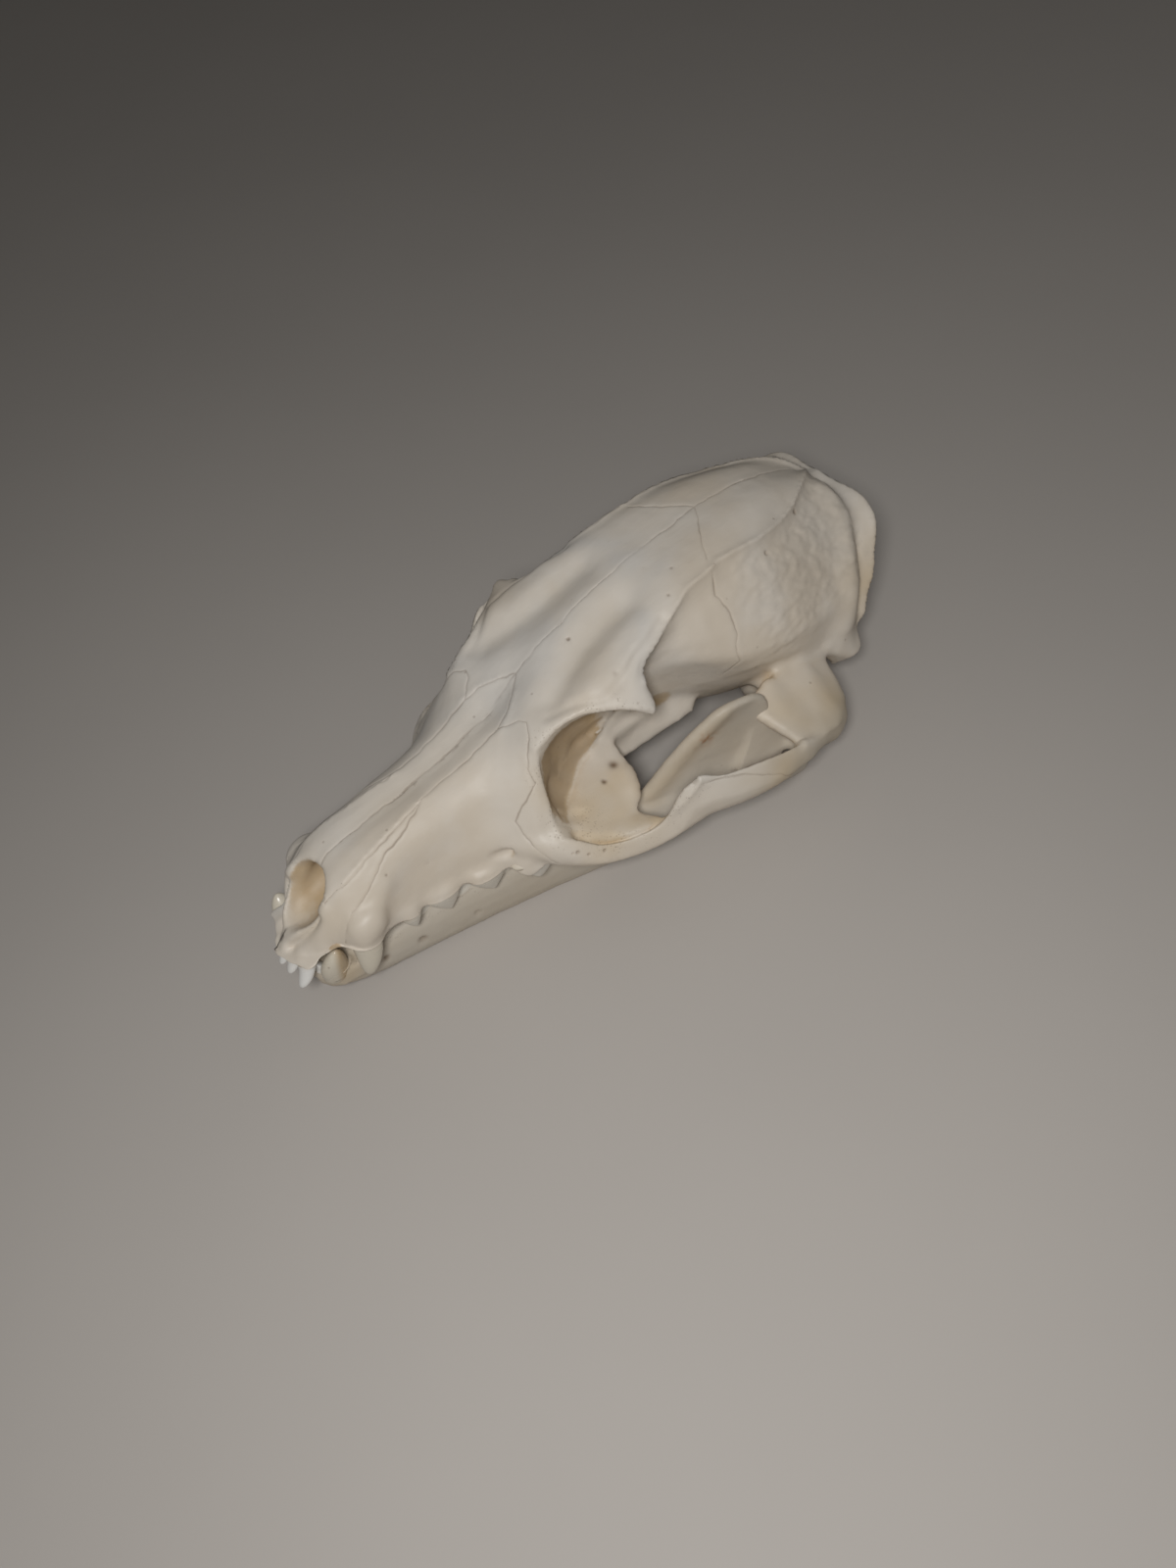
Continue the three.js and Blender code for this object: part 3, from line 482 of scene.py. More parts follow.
class Relief:
    """A fine mesh whose points are moved in and out along paths, in skull places on both sides at once."""

    def __init__(self, mesh):
        self.mesh = mesh
        self.read()

    def read(self):
        flat = np.empty(len(self.mesh.vertices) * 3)
        self.mesh.vertices.foreach_get("co", flat)
        points = flat.reshape(-1, 3) / MM
        self.at = np.stack([points[:, 1] + MIDDLE_ALONG, points[:, 0], points[:, 2]], 1)
        self.mesh.vertex_normals.foreach_get("vector", flat)
        normals = flat.reshape(-1, 3)
        self.out = np.stack([normals[:, 1], normals[:, 0], normals[:, 2]], 1)

    def write(self):
        points = np.stack([self.at[:, 1], self.at[:, 0] - MIDDLE_ALONG, self.at[:, 2]], 1) * MM
        self.mesh.vertices.foreach_set("co", points.ravel())
        self.mesh.update()

    def sides(self):
        """1 for each point on the left and -1 for each on the right."""
        return np.where(self.at[:, 1] < 0, -1, 1)

    def folded(self):
        """The points with the right side laid over the left."""
        left = self.at.copy()
        left[:, 1] = np.abs(left[:, 1])
        return left

    def spot(self, at, size, power=2, mirror=True):
        """Share from 1 at a place down to 0 past a size, more sharply at a higher power."""
        points = self.folded() if mirror else self.at
        return np.exp(-(np.linalg.norm((points - np.array(at)) / np.array(size), axis=1) ** power))

    def reach(self, path):
        """How far each point is from a path."""
        return np.min([np.linalg.norm(gap, axis=1) for _, _, gap in stretches(path, self.folded())], axis=0)

    def line(self, path, width, power=2):
        """Share from 1 on a path down to 0 past a width."""
        return np.exp(-((self.reach(path) / width) ** power))

    def seam(self, path, points):
        """How far each point is from a path, measured along the surface."""
        out = self.out.copy()
        out[:, 1] *= self.sides()
        best = np.full(len(points), FAR)
        for _, _, gap in stretches(path, points):
            rise = np.einsum("ij,ij->i", gap, out)
            flat = np.sqrt(np.maximum(np.einsum("ij,ij->i", gap, gap) - rise * rise, 0))
            best = np.minimum(best, np.where(np.abs(rise) < SEAM_DEPTH, flat, FAR))
        return best

    def pull(self, at, reach, shift, side):
        """Drags the points around a place along a shift, on one side or both."""
        near = self.spot(at, reach) * (self.at[:, 1] * side >= 0)
        step = near[:, None] * np.array(shift)
        step[:, 1] *= self.sides()
        self.at += step

    def pinch(self, path, heart, width, share):
        """Thins a flange that stands out from a heart point along a path."""
        points = self.folded()
        best = np.full(len(points), FAR)
        shift = np.zeros_like(points)
        for start, step, gap in stretches(path, points):
            far = np.linalg.norm(gap, axis=1)
            along = step / np.linalg.norm(step)
            outward = start + step / 2 - np.array(heart, float)
            outward -= along * (outward @ along)
            thin = np.cross(along, outward / np.linalg.norm(outward))
            move = -(gap @ thin)[:, None] * thin * (share * np.exp(-((far / width) ** 2)))[:, None]
            closer = far < best
            best = np.where(closer, far, best)
            shift[closer] = move[closer]
        shift[:, 1] *= self.sides()
        self.at += shift

    def push(self, amount):
        self.at += self.out * amount[:, None]

    def crease(self, path, width, lift):
        self.push(lift * np.exp(-self.seam(path, self.folded()) / width))

    def swell(self, path, width, lift):
        self.push(lift * self.line(path, width))

    def rough(self, scale, seed=0.0):
        """Smooth random values from -1 to 1, with the given size of lumps in millimetres."""
        shift = Vector((seed, seed * 0.7, -seed))
        sizes = Vector(scale) if hasattr(scale, "__len__") else Vector((scale, scale, scale))
        return np.array([noise.noise(Vector((p[0] / sizes[0], p[1] / sizes[1], p[2] / sizes[2])) + shift)
                         for p in self.at])

    def wandered(self, sizes):
        """Points shifted at random, so that a path read from them wanders as a suture does."""
        points = self.at.copy()
        for size, amount, seed in sizes:
            for axis in range(3):
                points[:, axis] += amount * self.rough(size, seed + 7.3 * axis)
        points[:, 1] = np.abs(points[:, 1])
        return points

    def keep_masks(self, masks):
        for name, values in masks.items():
            attribute = self.mesh.attributes.new(name, "FLOAT", "POINT")
            attribute.data.foreach_set("value", np.clip(values, 0, 1).astype(np.float32))


def refine(mesh, near):
    """Divides the faces around the marked points, so that fine grooves have enough points to follow."""
    bm = bmesh.new()
    bm.from_mesh(mesh)
    bm.verts.ensure_lookup_table()
    edges = [e for e in bm.edges if near[e.verts[0].index] and near[e.verts[1].index]]
    bmesh.ops.subdivide_edges(bm, edges=edges, cuts=1, use_grid_fill=True)
    bm.to_mesh(mesh)
    bm.free()


def sheltered(mesh, reach):
    """How much of the view out from each point is blocked by nearby bone, from 0 to 1."""
    tree = BVHTree.FromPolygons([v.co for v in mesh.vertices], [p.vertices for p in mesh.polygons])
    golden = math.pi * (3 - math.sqrt(5))
    spread = []
    for i in range(SHELTER_RAYS):
        rise = 1 - SHELTER_LEAN * ((i + 0.5) / SHELTER_RAYS)
        flat = math.sqrt(1 - rise * rise)
        spread.append(Vector((flat * math.cos(golden * i), flat * math.sin(golden * i), rise)))
    values = np.zeros(len(mesh.vertices))
    up = Vector((0, 0, 1))
    for vert in mesh.vertices:
        turn = up.rotation_difference(vert.normal)
        start = vert.co + vert.normal * SHELTER_START
        hits = sum(tree.ray_cast(start, turn @ way, reach)[0] is not None for way in spread)
        values[vert.index] = hits / SHELTER_RAYS
    return values


# Nodes and materials

def feed(tree, node, inputs):
    """Links or sets a node's inputs."""
    for name, value in inputs.items():
        if isinstance(value, bpy.types.NodeSocket):
            tree.links.new(value, node.inputs[name])
        else:
            node.inputs[name].default_value = value


def add_node(tree, kind, inputs=None, **settings):
    node = tree.nodes.new(kind)
    for name, value in settings.items():
        setattr(node, name, value)
    feed(tree, node, inputs or {})
    return node


def mixed(tree, factor, first, second):
    """Mix of two colours by a factor."""
    return add_node(tree, "ShaderNodeMix", {0: factor, 6: first, 7: second}, data_type="RGBA").outputs[2]


def remapped(tree, value, low, high, to_low=0.0, to_high=1.0):
    """A value eased from one range to another."""
    node = add_node(tree, "ShaderNodeMapRange", {"Value": value, "From Min": low, "From Max": high,
                                                "To Min": to_low, "To Max": to_high}, interpolation_type="SMOOTHSTEP")
    return node.outputs[0]


def calculated(tree, operation, first, second):
    return add_node(tree, "ShaderNodeMath", {0: first, 1: second}, operation=operation).outputs[0]


def times(tree, first, second):
    return calculated(tree, "MULTIPLY", first, second)


def rgba(colour):
    return (*colour, 1.0)


def painted(tree, first, coats):
    """A first colour with coats of other colours over it, each by its own share."""
    colour = rgba(first)
    for share, tint in coats:
        colour = mixed(tree, share, colour, rgba(tint))
    return colour


def new_material(name):
    material = bpy.data.materials.new(name)
    material.use_nodes = True
    return material, material.node_tree, material.node_tree.nodes["Principled BSDF"]


def grain_group():
    """Shared surface of dry bone: slow mottling, fibre, pores and specks."""
    group = bpy.data.node_groups.new("dry_bone_grain", "ShaderNodeTree")
    for name, default in (("Mottle Size", 60.0), ("Fibre Size", 900.0), ("Pore Size", 2000.0)):
        socket = group.interface.new_socket(name, in_out="INPUT", socket_type="NodeSocketFloat")
        socket.default_value = default
    for name in ("Mottle", "Patch", "Fibre", "Pores", "Specks"):
        group.interface.new_socket(name, in_out="OUTPUT", socket_type="NodeSocketFloat")
    entry = group.nodes.new("NodeGroupInput")
    leave = group.nodes.new("NodeGroupOutput")
    where = add_node(group, "ShaderNodeTexCoord").outputs["Object"]
    stretch = add_node(group, "ShaderNodeMapping", {"Vector": where, "Scale": (1.0, 0.22, 1.0)}).outputs[0]
    mottle = add_node(group, "ShaderNodeTexNoise", {"Vector": where, "Scale": entry.outputs["Mottle Size"],
                                                   "Detail": 4.0, "Roughness": 0.6})
    patch = add_node(group, "ShaderNodeTexNoise", {"Vector": where, "Scale": 28.0, "Detail": 3.0, "Distortion": 0.6})
    fibre = add_node(group, "ShaderNodeTexNoise", {"Vector": stretch, "Scale": entry.outputs["Fibre Size"],
                                                  "Detail": 3.0, "Roughness": 0.65})
    pores = add_node(group, "ShaderNodeTexVoronoi", {"Vector": where, "Scale": entry.outputs["Pore Size"]})
    specks = add_node(group, "ShaderNodeTexVoronoi", {"Vector": where, "Scale": 210.0})
    open_pore = remapped(group, pores.outputs["Color"], 0.35, 0.7, 1.0, 0.0)
    chance = remapped(group, specks.outputs["Color"], 0.62, 0.72)
    feed(group, leave, {
        "Mottle": mottle.outputs[0],
        "Patch": patch.outputs[0],
        "Fibre": fibre.outputs[0],
        "Pores": calculated(group, "MAXIMUM", remapped(group, pores.outputs["Distance"], 0.10, 0.42), open_pore),
        "Specks": times(group, remapped(group, specks.outputs["Distance"], 0.02, 0.09, 1.0, 0.0), chance),
    })
    return group


def attribute_value(tree, name):
    return add_node(tree, "ShaderNodeAttribute", attribute_name=name, attribute_type="GEOMETRY").outputs["Fac"]


def bone_material(name, grain, looks, pore_size=1900.0, tan=0.0):
    """Ivory bone with warm patches, hollows darkened by painted shade and real staining, dark sutures and porous rims.
    """
    material, tree, shader = new_material(name)
    surface = add_node(tree, "ShaderNodeGroup", {"Pore Size": pore_size}, node_tree=grain).outputs
    mottle, patch, specks = surface["Mottle"], surface["Patch"], surface["Specks"]
    pits = times(tree, calculated(tree, "SUBTRACT", 1.0, surface["Pores"]), attribute_value(tree, "rim"))
    # Painted shade: where nearby bone shelters the surface, deep honey darkens it, mixed with real staining in the
    # hollows.
    stain_and_shade = times(tree, remapped(tree, attribute_value(tree, "hollow"), 0.22, 0.85),
                  remapped(tree, mottle, 0.2, 0.7, 0.45, 0.95))
    coats = (
        (remapped(tree, patch, 0.42, 0.66), looks.warm_ivory),
        (remapped(tree, mottle, 0.45, 0.75, 0.0, 0.45), looks.chalk),
        (remapped(tree, patch, 0.30, 0.46, 0.5, 0.0), looks.cool_bone),
        # Tan: partly the bone's own darker tone and partly painted shade, over the jaws and the outer rear of the cheek
        # arches.
        (calculated(tree, "MAXIMUM", attribute_value(tree, "tan"), tan), looks.tan),
        (times(tree, attribute_value(tree, "warm"), 0.75), looks.honey),
        (stain_and_shade, looks.honey_deep),
        (times(tree, pits, 0.55), looks.umber),
        (times(tree, specks, 0.35), looks.umber),
        (times(tree, attribute_value(tree, "suture"), 0.5), looks.umber),
        (times(tree, attribute_value(tree, "rust"), 0.9), looks.rust),
        # Umber in the pinholes and chin holes, and painted shade on the front wall of the eye socket.
        (times(tree, attribute_value(tree, "pit"), 0.9), looks.umber),
    )
    height = calculated(tree, "ADD", times(tree, surface["Fibre"], 0.55), times(tree, mottle, 0.6))
    for dent in (times(tree, pits, 1.6), times(tree, specks, 0.6)):
        height = calculated(tree, "SUBTRACT", height, dent)
    bump = add_node(tree, "ShaderNodeBump", {"Height": height, "Strength": 0.30, "Distance": 0.0003})
    feed(tree, shader, {"Base Color": painted(tree, looks.ivory, coats), "Specular IOR Level": 0.42,
                        "Roughness": remapped(tree, mottle, 0.3, 0.7, 0.42, 0.60), "Normal": bump.outputs[0]})
    return material


def enamel_material(grain, looks):
    """Tooth enamel, whitest on the front teeth, with a broken brown line at the gum."""
    material, tree, shader = new_material("tooth_enamel")
    surface = add_node(tree, "ShaderNodeGroup", {"Mottle Size": 260.0}, node_tree=grain).outputs
    mottle = surface["Mottle"]
    crown = attribute_value(tree, "crown")
    uneven = calculated(tree, "SUBTRACT", crown, remapped(tree, mottle, 0.35, 0.7, 0.0, 0.28))
    neck = remapped(tree, uneven, -0.05, 0.2, 1.0, 0.0)
    line = times(tree, remapped(tree, crown, 0.01, 0.06, 1.0, 0.0), remapped(tree, crown, -0.06, -0.01))
    coats = (
        (times(tree, attribute_value(tree, "white"), remapped(tree, crown, 0.0, 0.1)), looks.enamel),
        (remapped(tree, surface["Patch"], 0.4, 0.7, 0.0, 0.4), looks.dentine),
        (times(tree, neck, 0.3), looks.warm_ivory),
        (times(tree, line, remapped(tree, mottle, 0.42, 0.62, 0.0, 0.7)), looks.umber),
        (times(tree, attribute_value(tree, "brown"), 0.8), looks.honey_deep),
        (times(tree, surface["Specks"], 0.4), looks.umber),
    )
    bump = add_node(tree, "ShaderNodeBump", {"Height": surface["Fibre"], "Strength": 0.15, "Distance": 0.0002})
    feed(tree, shader, {"Base Color": painted(tree, looks.dentine, coats),
                        "Roughness": remapped(tree, neck, 0.0, 1.0, 0.26, 0.55), "Normal": bump.outputs[0]})
    return material


def floor_material(colour):
    """Plain pale table with faint clouding."""
    material, tree, shader = new_material("pale_table")
    where = add_node(tree, "ShaderNodeTexCoord").outputs["Object"]
    cloud = add_node(tree, "ShaderNodeTexNoise", {"Vector": where, "Scale": 9.0, "Detail": 6.0}).outputs[0]
    tint = mixed(tree, remapped(tree, cloud, 0.35, 0.65, 0.0, 0.35), rgba(colour), rgba([c * 0.94 for c in colour]))
    feed(tree, shader, {"Base Color": tint, "Roughness": 0.6, "Specular IOR Level": 0.25})
    return material


# Settings

def length_setting(name, description, default, low, high):
    return FloatProperty(name=name, description=description, default=default, min=low, max=high,
                         subtype="DISTANCE", unit="LENGTH")


def colour_setting(name, description, default):
    return FloatVectorProperty(name=name, description=description, default=default, min=0, max=1, subtype="COLOR")


class SkullBoneSettings(bpy.types.PropertyGroup):
    grain: length_setting("Bone fineness", "Size of the bone surface's faces", 0.0008, 0.0004, 0.003)
    fine_grain: length_setting("Finest bone", "Size of the faces that the details are carved in", 0.0006, 0.0004, 0.003)
    most_faces: IntProperty(name="Most faces", description="Most triangles in the upper skull", default=190000,
                            min=20000, max=199000)
    jaw_grain: length_setting("Jaw fineness", "Size of the jaw surface's faces", 0.00055, 0.0004, 0.003)
    swell: length_setting("Seam fill", "Swelling that closes the gaps between the solid parts", 0.00022, 0.0, 0.001)
    rounds: IntProperty(name="Rounding", description="Rounds of smoothing on the bone", default=7, min=0, max=40)
    suture_depth: length_setting("Suture depth", "Depth of the seams between bones", 0.00010, 0.0, 0.001)
    suture_width: length_setting("Suture width", "Half width of the seams between bones", 0.00015, 0.00005, 0.002)
    ridge_height: length_setting("Ridge height", "Height of the temple ridges", 0.0012, 0.0, 0.003)
    ivory: colour_setting("Ivory", "Main colour of the bone", (0.70, 0.636, 0.552))
    warm_ivory: colour_setting("Warm ivory", "Colour of the warmer patches", (0.66, 0.577, 0.472))
    chalk: colour_setting("Chalk", "Colour of the bleached patches", (0.73, 0.682, 0.618))
    honey: colour_setting("Honey", "Colour of light stains", (0.60, 0.47, 0.30))
    # Deep honey lays painted shade in the sheltered hollows over real staining, and browns the back of the left lower
    # fang.
    honey_deep: colour_setting("Deep honey", "Colour of stains in the hollows", (0.50, 0.36, 0.20))
    cool_bone: colour_setting("Cool bone", "Colour of the greyer patches", (0.63, 0.61, 0.58))
    # Tan darkens the jaws and the outer rear of the cheek arches: partly their own darker tone, partly painted shade.
    tan: colour_setting("Tan", "Colour of the darker bone of the jaws and cheek arches", (0.47, 0.415, 0.33))
    rust: colour_setting("Rust", "Colour of the small orange stain on the jaw", (0.42, 0.17, 0.045))
    # Umber also darkens the pinholes and chin holes, and lays painted shade on the front wall of the eye socket.
    umber: colour_setting("Umber", "Colour of dirt in pits and seams", (0.16, 0.10, 0.055))
    enamel: colour_setting("Enamel", "Main colour of the teeth", (0.88, 0.885, 0.88))
    dentine: colour_setting("Dentine", "Warmer colour of the teeth", (0.68, 0.62, 0.51))


class SkullStageSettings(bpy.types.PropertyGroup):
    floor_size: length_setting("Floor size", "Breadth of the floor", 4.0, 0.5, 20)
    floor_colour: colour_setting("Floor colour", "Colour of the plain floor", (0.55, 0.51, 0.468))
    lens: FloatProperty(name="Lens", description="Focal length of the camera", default=28.2, min=10, max=200,
                        subtype="DISTANCE_CAMERA", unit="CAMERA")
    key_power: FloatProperty(name="Key light", description="Power of the main soft light", default=0.61, min=0, max=500,
                             subtype="POWER", unit="POWER")
    fill_power: FloatProperty(name="Fill light", description="Power of the broad overhead light", default=0.45, min=0,
                              max=500, subtype="POWER", unit="POWER")
    sky: FloatProperty(name="Sky", description="Strength of the even light from all round", default=0.06, min=0, max=5)


class SKULL_OT_cranium(bpy.types.Operator):
    """Make the upper skull as one fine bone surface"""

    bl_idname = "skull.cranium"
    bl_label = "Make the cranium"

    def execute(self, context):
        looks = context.scene.skull_bone
        piece = fused_copy("cranium", CRANIUM_NODES, looks.swell, EXTRA_BONE, WEDGES.values())
        make_fine(piece, looks.grain, looks.rounds)
        bm = bmesh.new()
        for at, radii, tilt in both_sides(DEEP_HOLLOWS):
            add_ball(bm, at, radii, tilt=tilt, segments=32)
        for side in (1, -1):
            add_wedge(bm, SOCKET_HOLLOW, side)
        for at, radii, turn in both_sides(NERVE_HOLES):
            add_ball(bm, at, radii, turn, segments=16)
        cutter = piece_from("hollow_cutter", bm)
        make_fine(cutter, looks.fine_grain * CUTTER_SHARE, 1)
        cut = piece.modifiers.new("hollows", "BOOLEAN")
        cut.operation = "DIFFERENCE"
        cut.solver = "EXACT"
        cut.object = cutter
        make_fine(piece, looks.fine_grain, 4)
        bpy.data.objects.remove(cutter)
        self.carve(piece, looks)
        self.stain_and_shade(piece.data, looks)
        shade_smooth(piece.data)
        piece.data.materials.append(bone_material("cranium_bone", bpy.data.node_groups["dry_bone_grain"], looks))
        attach(piece, "root")
        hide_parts(*CRANIUM_NODES)
        return {"FINISHED"}

    def seams(self, relief):
        """How far each point is from the nearest suture."""
        wander = relief.wandered(((7.0, 0.6, 1.0), (1.8, 0.28, 4.0)))
        return np.min([relief.seam(path, wander) for path in SUTURES.values()], axis=0)

    def flatten_gum(self, relief):
        """Brings the bone under the upper teeth to the gum."""
        along, aside, height = relief.folded().T
        gum = profile(UPPER_GUM, along)
        sunk = ramp(profile(UPPER_ROW_EDGE, along) - aside, 0, 1.2) * (along < UPPER_ROW_END) * (height < gum)
        relief.at[:, 2] += (1 - UPPER_LEFTOVER) * sunk * (gum - height)

    def thin_arch(self, relief):
        """Thins the cheek arch toward its edges, as a standing blade."""
        rows = np.array(ARCH_BLADE, float)
        along, aside, height = relief.folded().T
        middle, low, high = (np.interp(along, rows[:, 0], rows[:, i]) for i in (1, 2, 3))
        ends = ramp(along, 55, 61) * ramp(along, 114, 106) * ramp(aside - middle, -5, -3)
        edge = np.maximum(0.62 * ramp(height - high, -5, 0), 0.4 * ramp(height - low, 3, 0))
        relief.at[:, 1] = relief.sides() * (middle + (aside - middle) * (1 - ends * edge))

    def roughen(self, relief):
        """Faint lumps all over, and streaky rough bone on the braincase below the temple ridge."""
        relief.push(0.10 * relief.rough(5.0, 3.0) + 0.05 * relief.rough(2.2, 9.0))
        along, aside, height = relief.folded().T
        rugged = ramp(aside - profile(TEMPLE_RIDGE, along), 0, 3) * ramp(along, 109, 115)
        rugged *= ramp(height, 33, 38) * ramp(along, 152, 148)
        streaks = 0.26 * relief.rough((3.6, 1.5, 1.5), 21.0) + 0.15 * relief.rough((1.6, 0.9, 0.9), 5.0)
        relief.push(rugged * streaks)

    def carve(self, piece, looks):
        mesh = piece.data
        relief = Relief(mesh)
        self.flatten_gum(relief)
        for path, width, lift in SWELLINGS.values():
            relief.swell(path, width, lift)
        self.thin_arch(relief)
        for row in PULLS.values():
            relief.pull(*row)
        relief.pinch(CREST_LINE, CREST_HEART, CREST_WIDTH, CREST_THINNING)
        relief.crease(TEMPLE_RIDGE, 0.85, looks.ridge_height / MM)
        relief.crease(SOCKET_RIM, 0.7, 0.7)
        relief.crease(CREST_LINE, 1.2, 0.8)
        for path, width, lift in SHARP_EDGES.values():
            relief.crease(path, width, lift)
        self.roughen(relief)
        relief.write()
        for reach in FINE_BANDS:
            near = self.seams(relief)
            for at, radius in PINHOLES:
                near = np.minimum(near, np.linalg.norm(relief.at - np.array(at), axis=1) - radius)
            refine(mesh, near < reach)
            relief.read()
        near = self.seams(relief)
        strength = np.clip(0.8 + 0.5 * relief.rough(6.0, 13.0), 0.4, 1)
        groove = strength * np.exp(-((near / (looks.suture_width / MM)) ** 2)) * looks.suture_depth / MM
        lips = 0.04 * np.exp(-(((near - 0.7) / 0.4) ** 2))
        relief.push(lips - groove)
        for at, radius in PINHOLES:
            relief.push(-PINHOLE_DEPTH * relief.spot(at, radius, mirror=False))
        relief.write()
        thin = piece.modifiers.new("thin", "DECIMATE")
        thin.ratio = min(1.0, looks.most_faces / sum(len(p.vertices) - 2 for p in mesh.polygons))
        settle(piece)

    def stain_and_shade(self, mesh, looks):
        """Keeps where the bone is seamed, porous or marked by stains, and where nearby bone shelters it for painted
        shade, for its material.
        """
        relief = Relief(mesh)
        along, aside, height = relief.folded().T
        strength = np.clip(0.75 + 0.6 * relief.rough(6.0, 13.0), 0.3, 1)
        pit = np.max([relief.spot(at, radius, mirror=False) for at, radius in PINHOLES], axis=0)
        rim = relief.line(SOCKET_RIM, 2.2) * np.clip(0.4 + 1.4 * relief.rough(4.0, 8.0), 0, 1)
        # Warm stains, with painted shade at the spot before the crest.
        warm = np.max([relief.spot(at, size) for at, size in WARM_STAINS_AND_CREST_SHADE], axis=0)
        warm = np.maximum(warm, 1.3 * relief.line(SWELLINGS["rim_inside"][0], 1.6, 4))
        warm = np.maximum(warm, 1.1 * relief.spot(*SOCKET_HONEY, 4))
        deep = np.max([relief.spot(at, size, 4) for at, size in DEEP_STAINS_AND_SHADE], axis=0)
        # Outer rear of the cheek arch, darker towards the bottom: partly its own tone, partly painted shade.
        outer = ramp(along, 88, 102) * ramp(aside, 33, 37) * np.maximum(ramp(height, 26, 23), 0.2)
        # Painted shade: sheltered bone is darkened in the material.
        shelter = sheltered(mesh, SHELTER_REACH)
        # Painted shade: the front wall of the eye socket, ahead of a slanting line and where sheltered, is browned and
        # darkened with umber.
        wall = ramp(height - 0.24 * (along - 65), 27.2, 27.8) * relief.spot(*SOCKET_WALL_SHADE, 6)
        wall *= ramp(shelter, 0.12, 0.24)
        # Painted shade: the deep hollows, the front wall of the eye socket and the patch behind it are browned, partly
        # over real staining.
        browned = 0.5 * deep * ramp(shelter, 0, 0.25) + 0.8 * wall + 0.7 * relief.spot(*TEMPLE_GAP_SHADE, 6)
        relief.keep_masks({
            "suture": strength * np.exp(-((self.seams(relief) / (looks.suture_width / MM)) ** 2)),
            "rim": np.maximum(rim, 0.55 * relief.spot(*SOCKET_PORES)),
            "warm": warm * np.clip(0.75 + 0.6 * relief.rough(6.0, 31.0), 0, 1),
            "tan": 0.75 * outer,
            "hollow": shelter + browned,
            # Pinholes, and painted shade on the front wall of the eye socket.
            "pit": np.maximum(pit, 0.4 * wall),
            "rust": np.zeros(len(along)),
        })


class SKULL_OT_mandibles(bpy.types.Operator):
    """Make the two lower jaws as fine bone surfaces"""

    bl_idname = "skull.mandibles"
    bl_label = "Make the lower jaws"

    def execute(self, context):
        looks = context.scene.skull_bone
        # The jaws' tan is partly their own darker tone and partly painted shade.
        material = bone_material("jaw_bone", bpy.data.node_groups["dry_bone_grain"], looks, 1500.0, 0.6)
        for side, sign in (("left", 1), ("right", -1)):
            piece = fused_copy(f"lower_jaw_{side}", [f"mandible_{side}"], 0.0, (), JAW_WEDGES.values(), (sign,))
            make_fine(piece, looks.jaw_grain, 6)
            self.carve(piece.data)
            shade_smooth(piece.data)
            piece.data.materials.append(material)
            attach(piece, "root")
            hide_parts(f"mandible_{side}")
        return {"FINISHED"}

    def carve(self, mesh):
        relief = Relief(mesh)
        gum = profile(LOWER_GUM, relief.at[:, 0])
        sunk = (relief.at[:, 0] < LOWER_ROW_END) & (relief.at[:, 2] > gum)
        relief.at[sunk, 2] = gum[sunk] + LOWER_LEFTOVER * (relief.at[sunk, 2] - gum[sunk])
        for path, width, lift in MANDIBLE_SWELLINGS.values():
            relief.swell(path, width, lift)
        above_table = relief.at[:, 2] >= 0.4
        relief.push(above_table * (0.08 * relief.rough(4.0, 3.0) + 0.04 * relief.rough(1.8, 6.0)))
        for at, radius in CHIN_HOLES:
            relief.push(-CHIN_HOLE_DEPTH * relief.spot(at, radius))
        relief.at[:, 2] = np.maximum(relief.at[:, 2], 0.0)
        relief.write()
        relief.read()
        band = relief.line(MANDIBLE_SWELLINGS["front_band"][0], 3.0)
        row = relief.at[:, 0] < LOWER_ROW_END
        relief.keep_masks({
            "rust": relief.spot(*JAW_RUST) * np.clip(0.3 + 2.2 * relief.rough(1.2, 17.0), 0, 1),
            "pit": np.sum([relief.spot(at, radius) for at, radius in CHIN_HOLES], axis=0),
            "suture": np.zeros(len(relief.at)),
            "rim": ramp(relief.at[:, 2] - gum, -3, 0) * row * 0.5,
            "warm": np.maximum(0.55 * band, 0.8 * relief.spot(*JAW_HONEY)),
            # Painted shade: where nearby bone shelters the jaws, the material darkens them.
            "hollow": sheltered(mesh, JAW_SHELTER_REACH),
        })


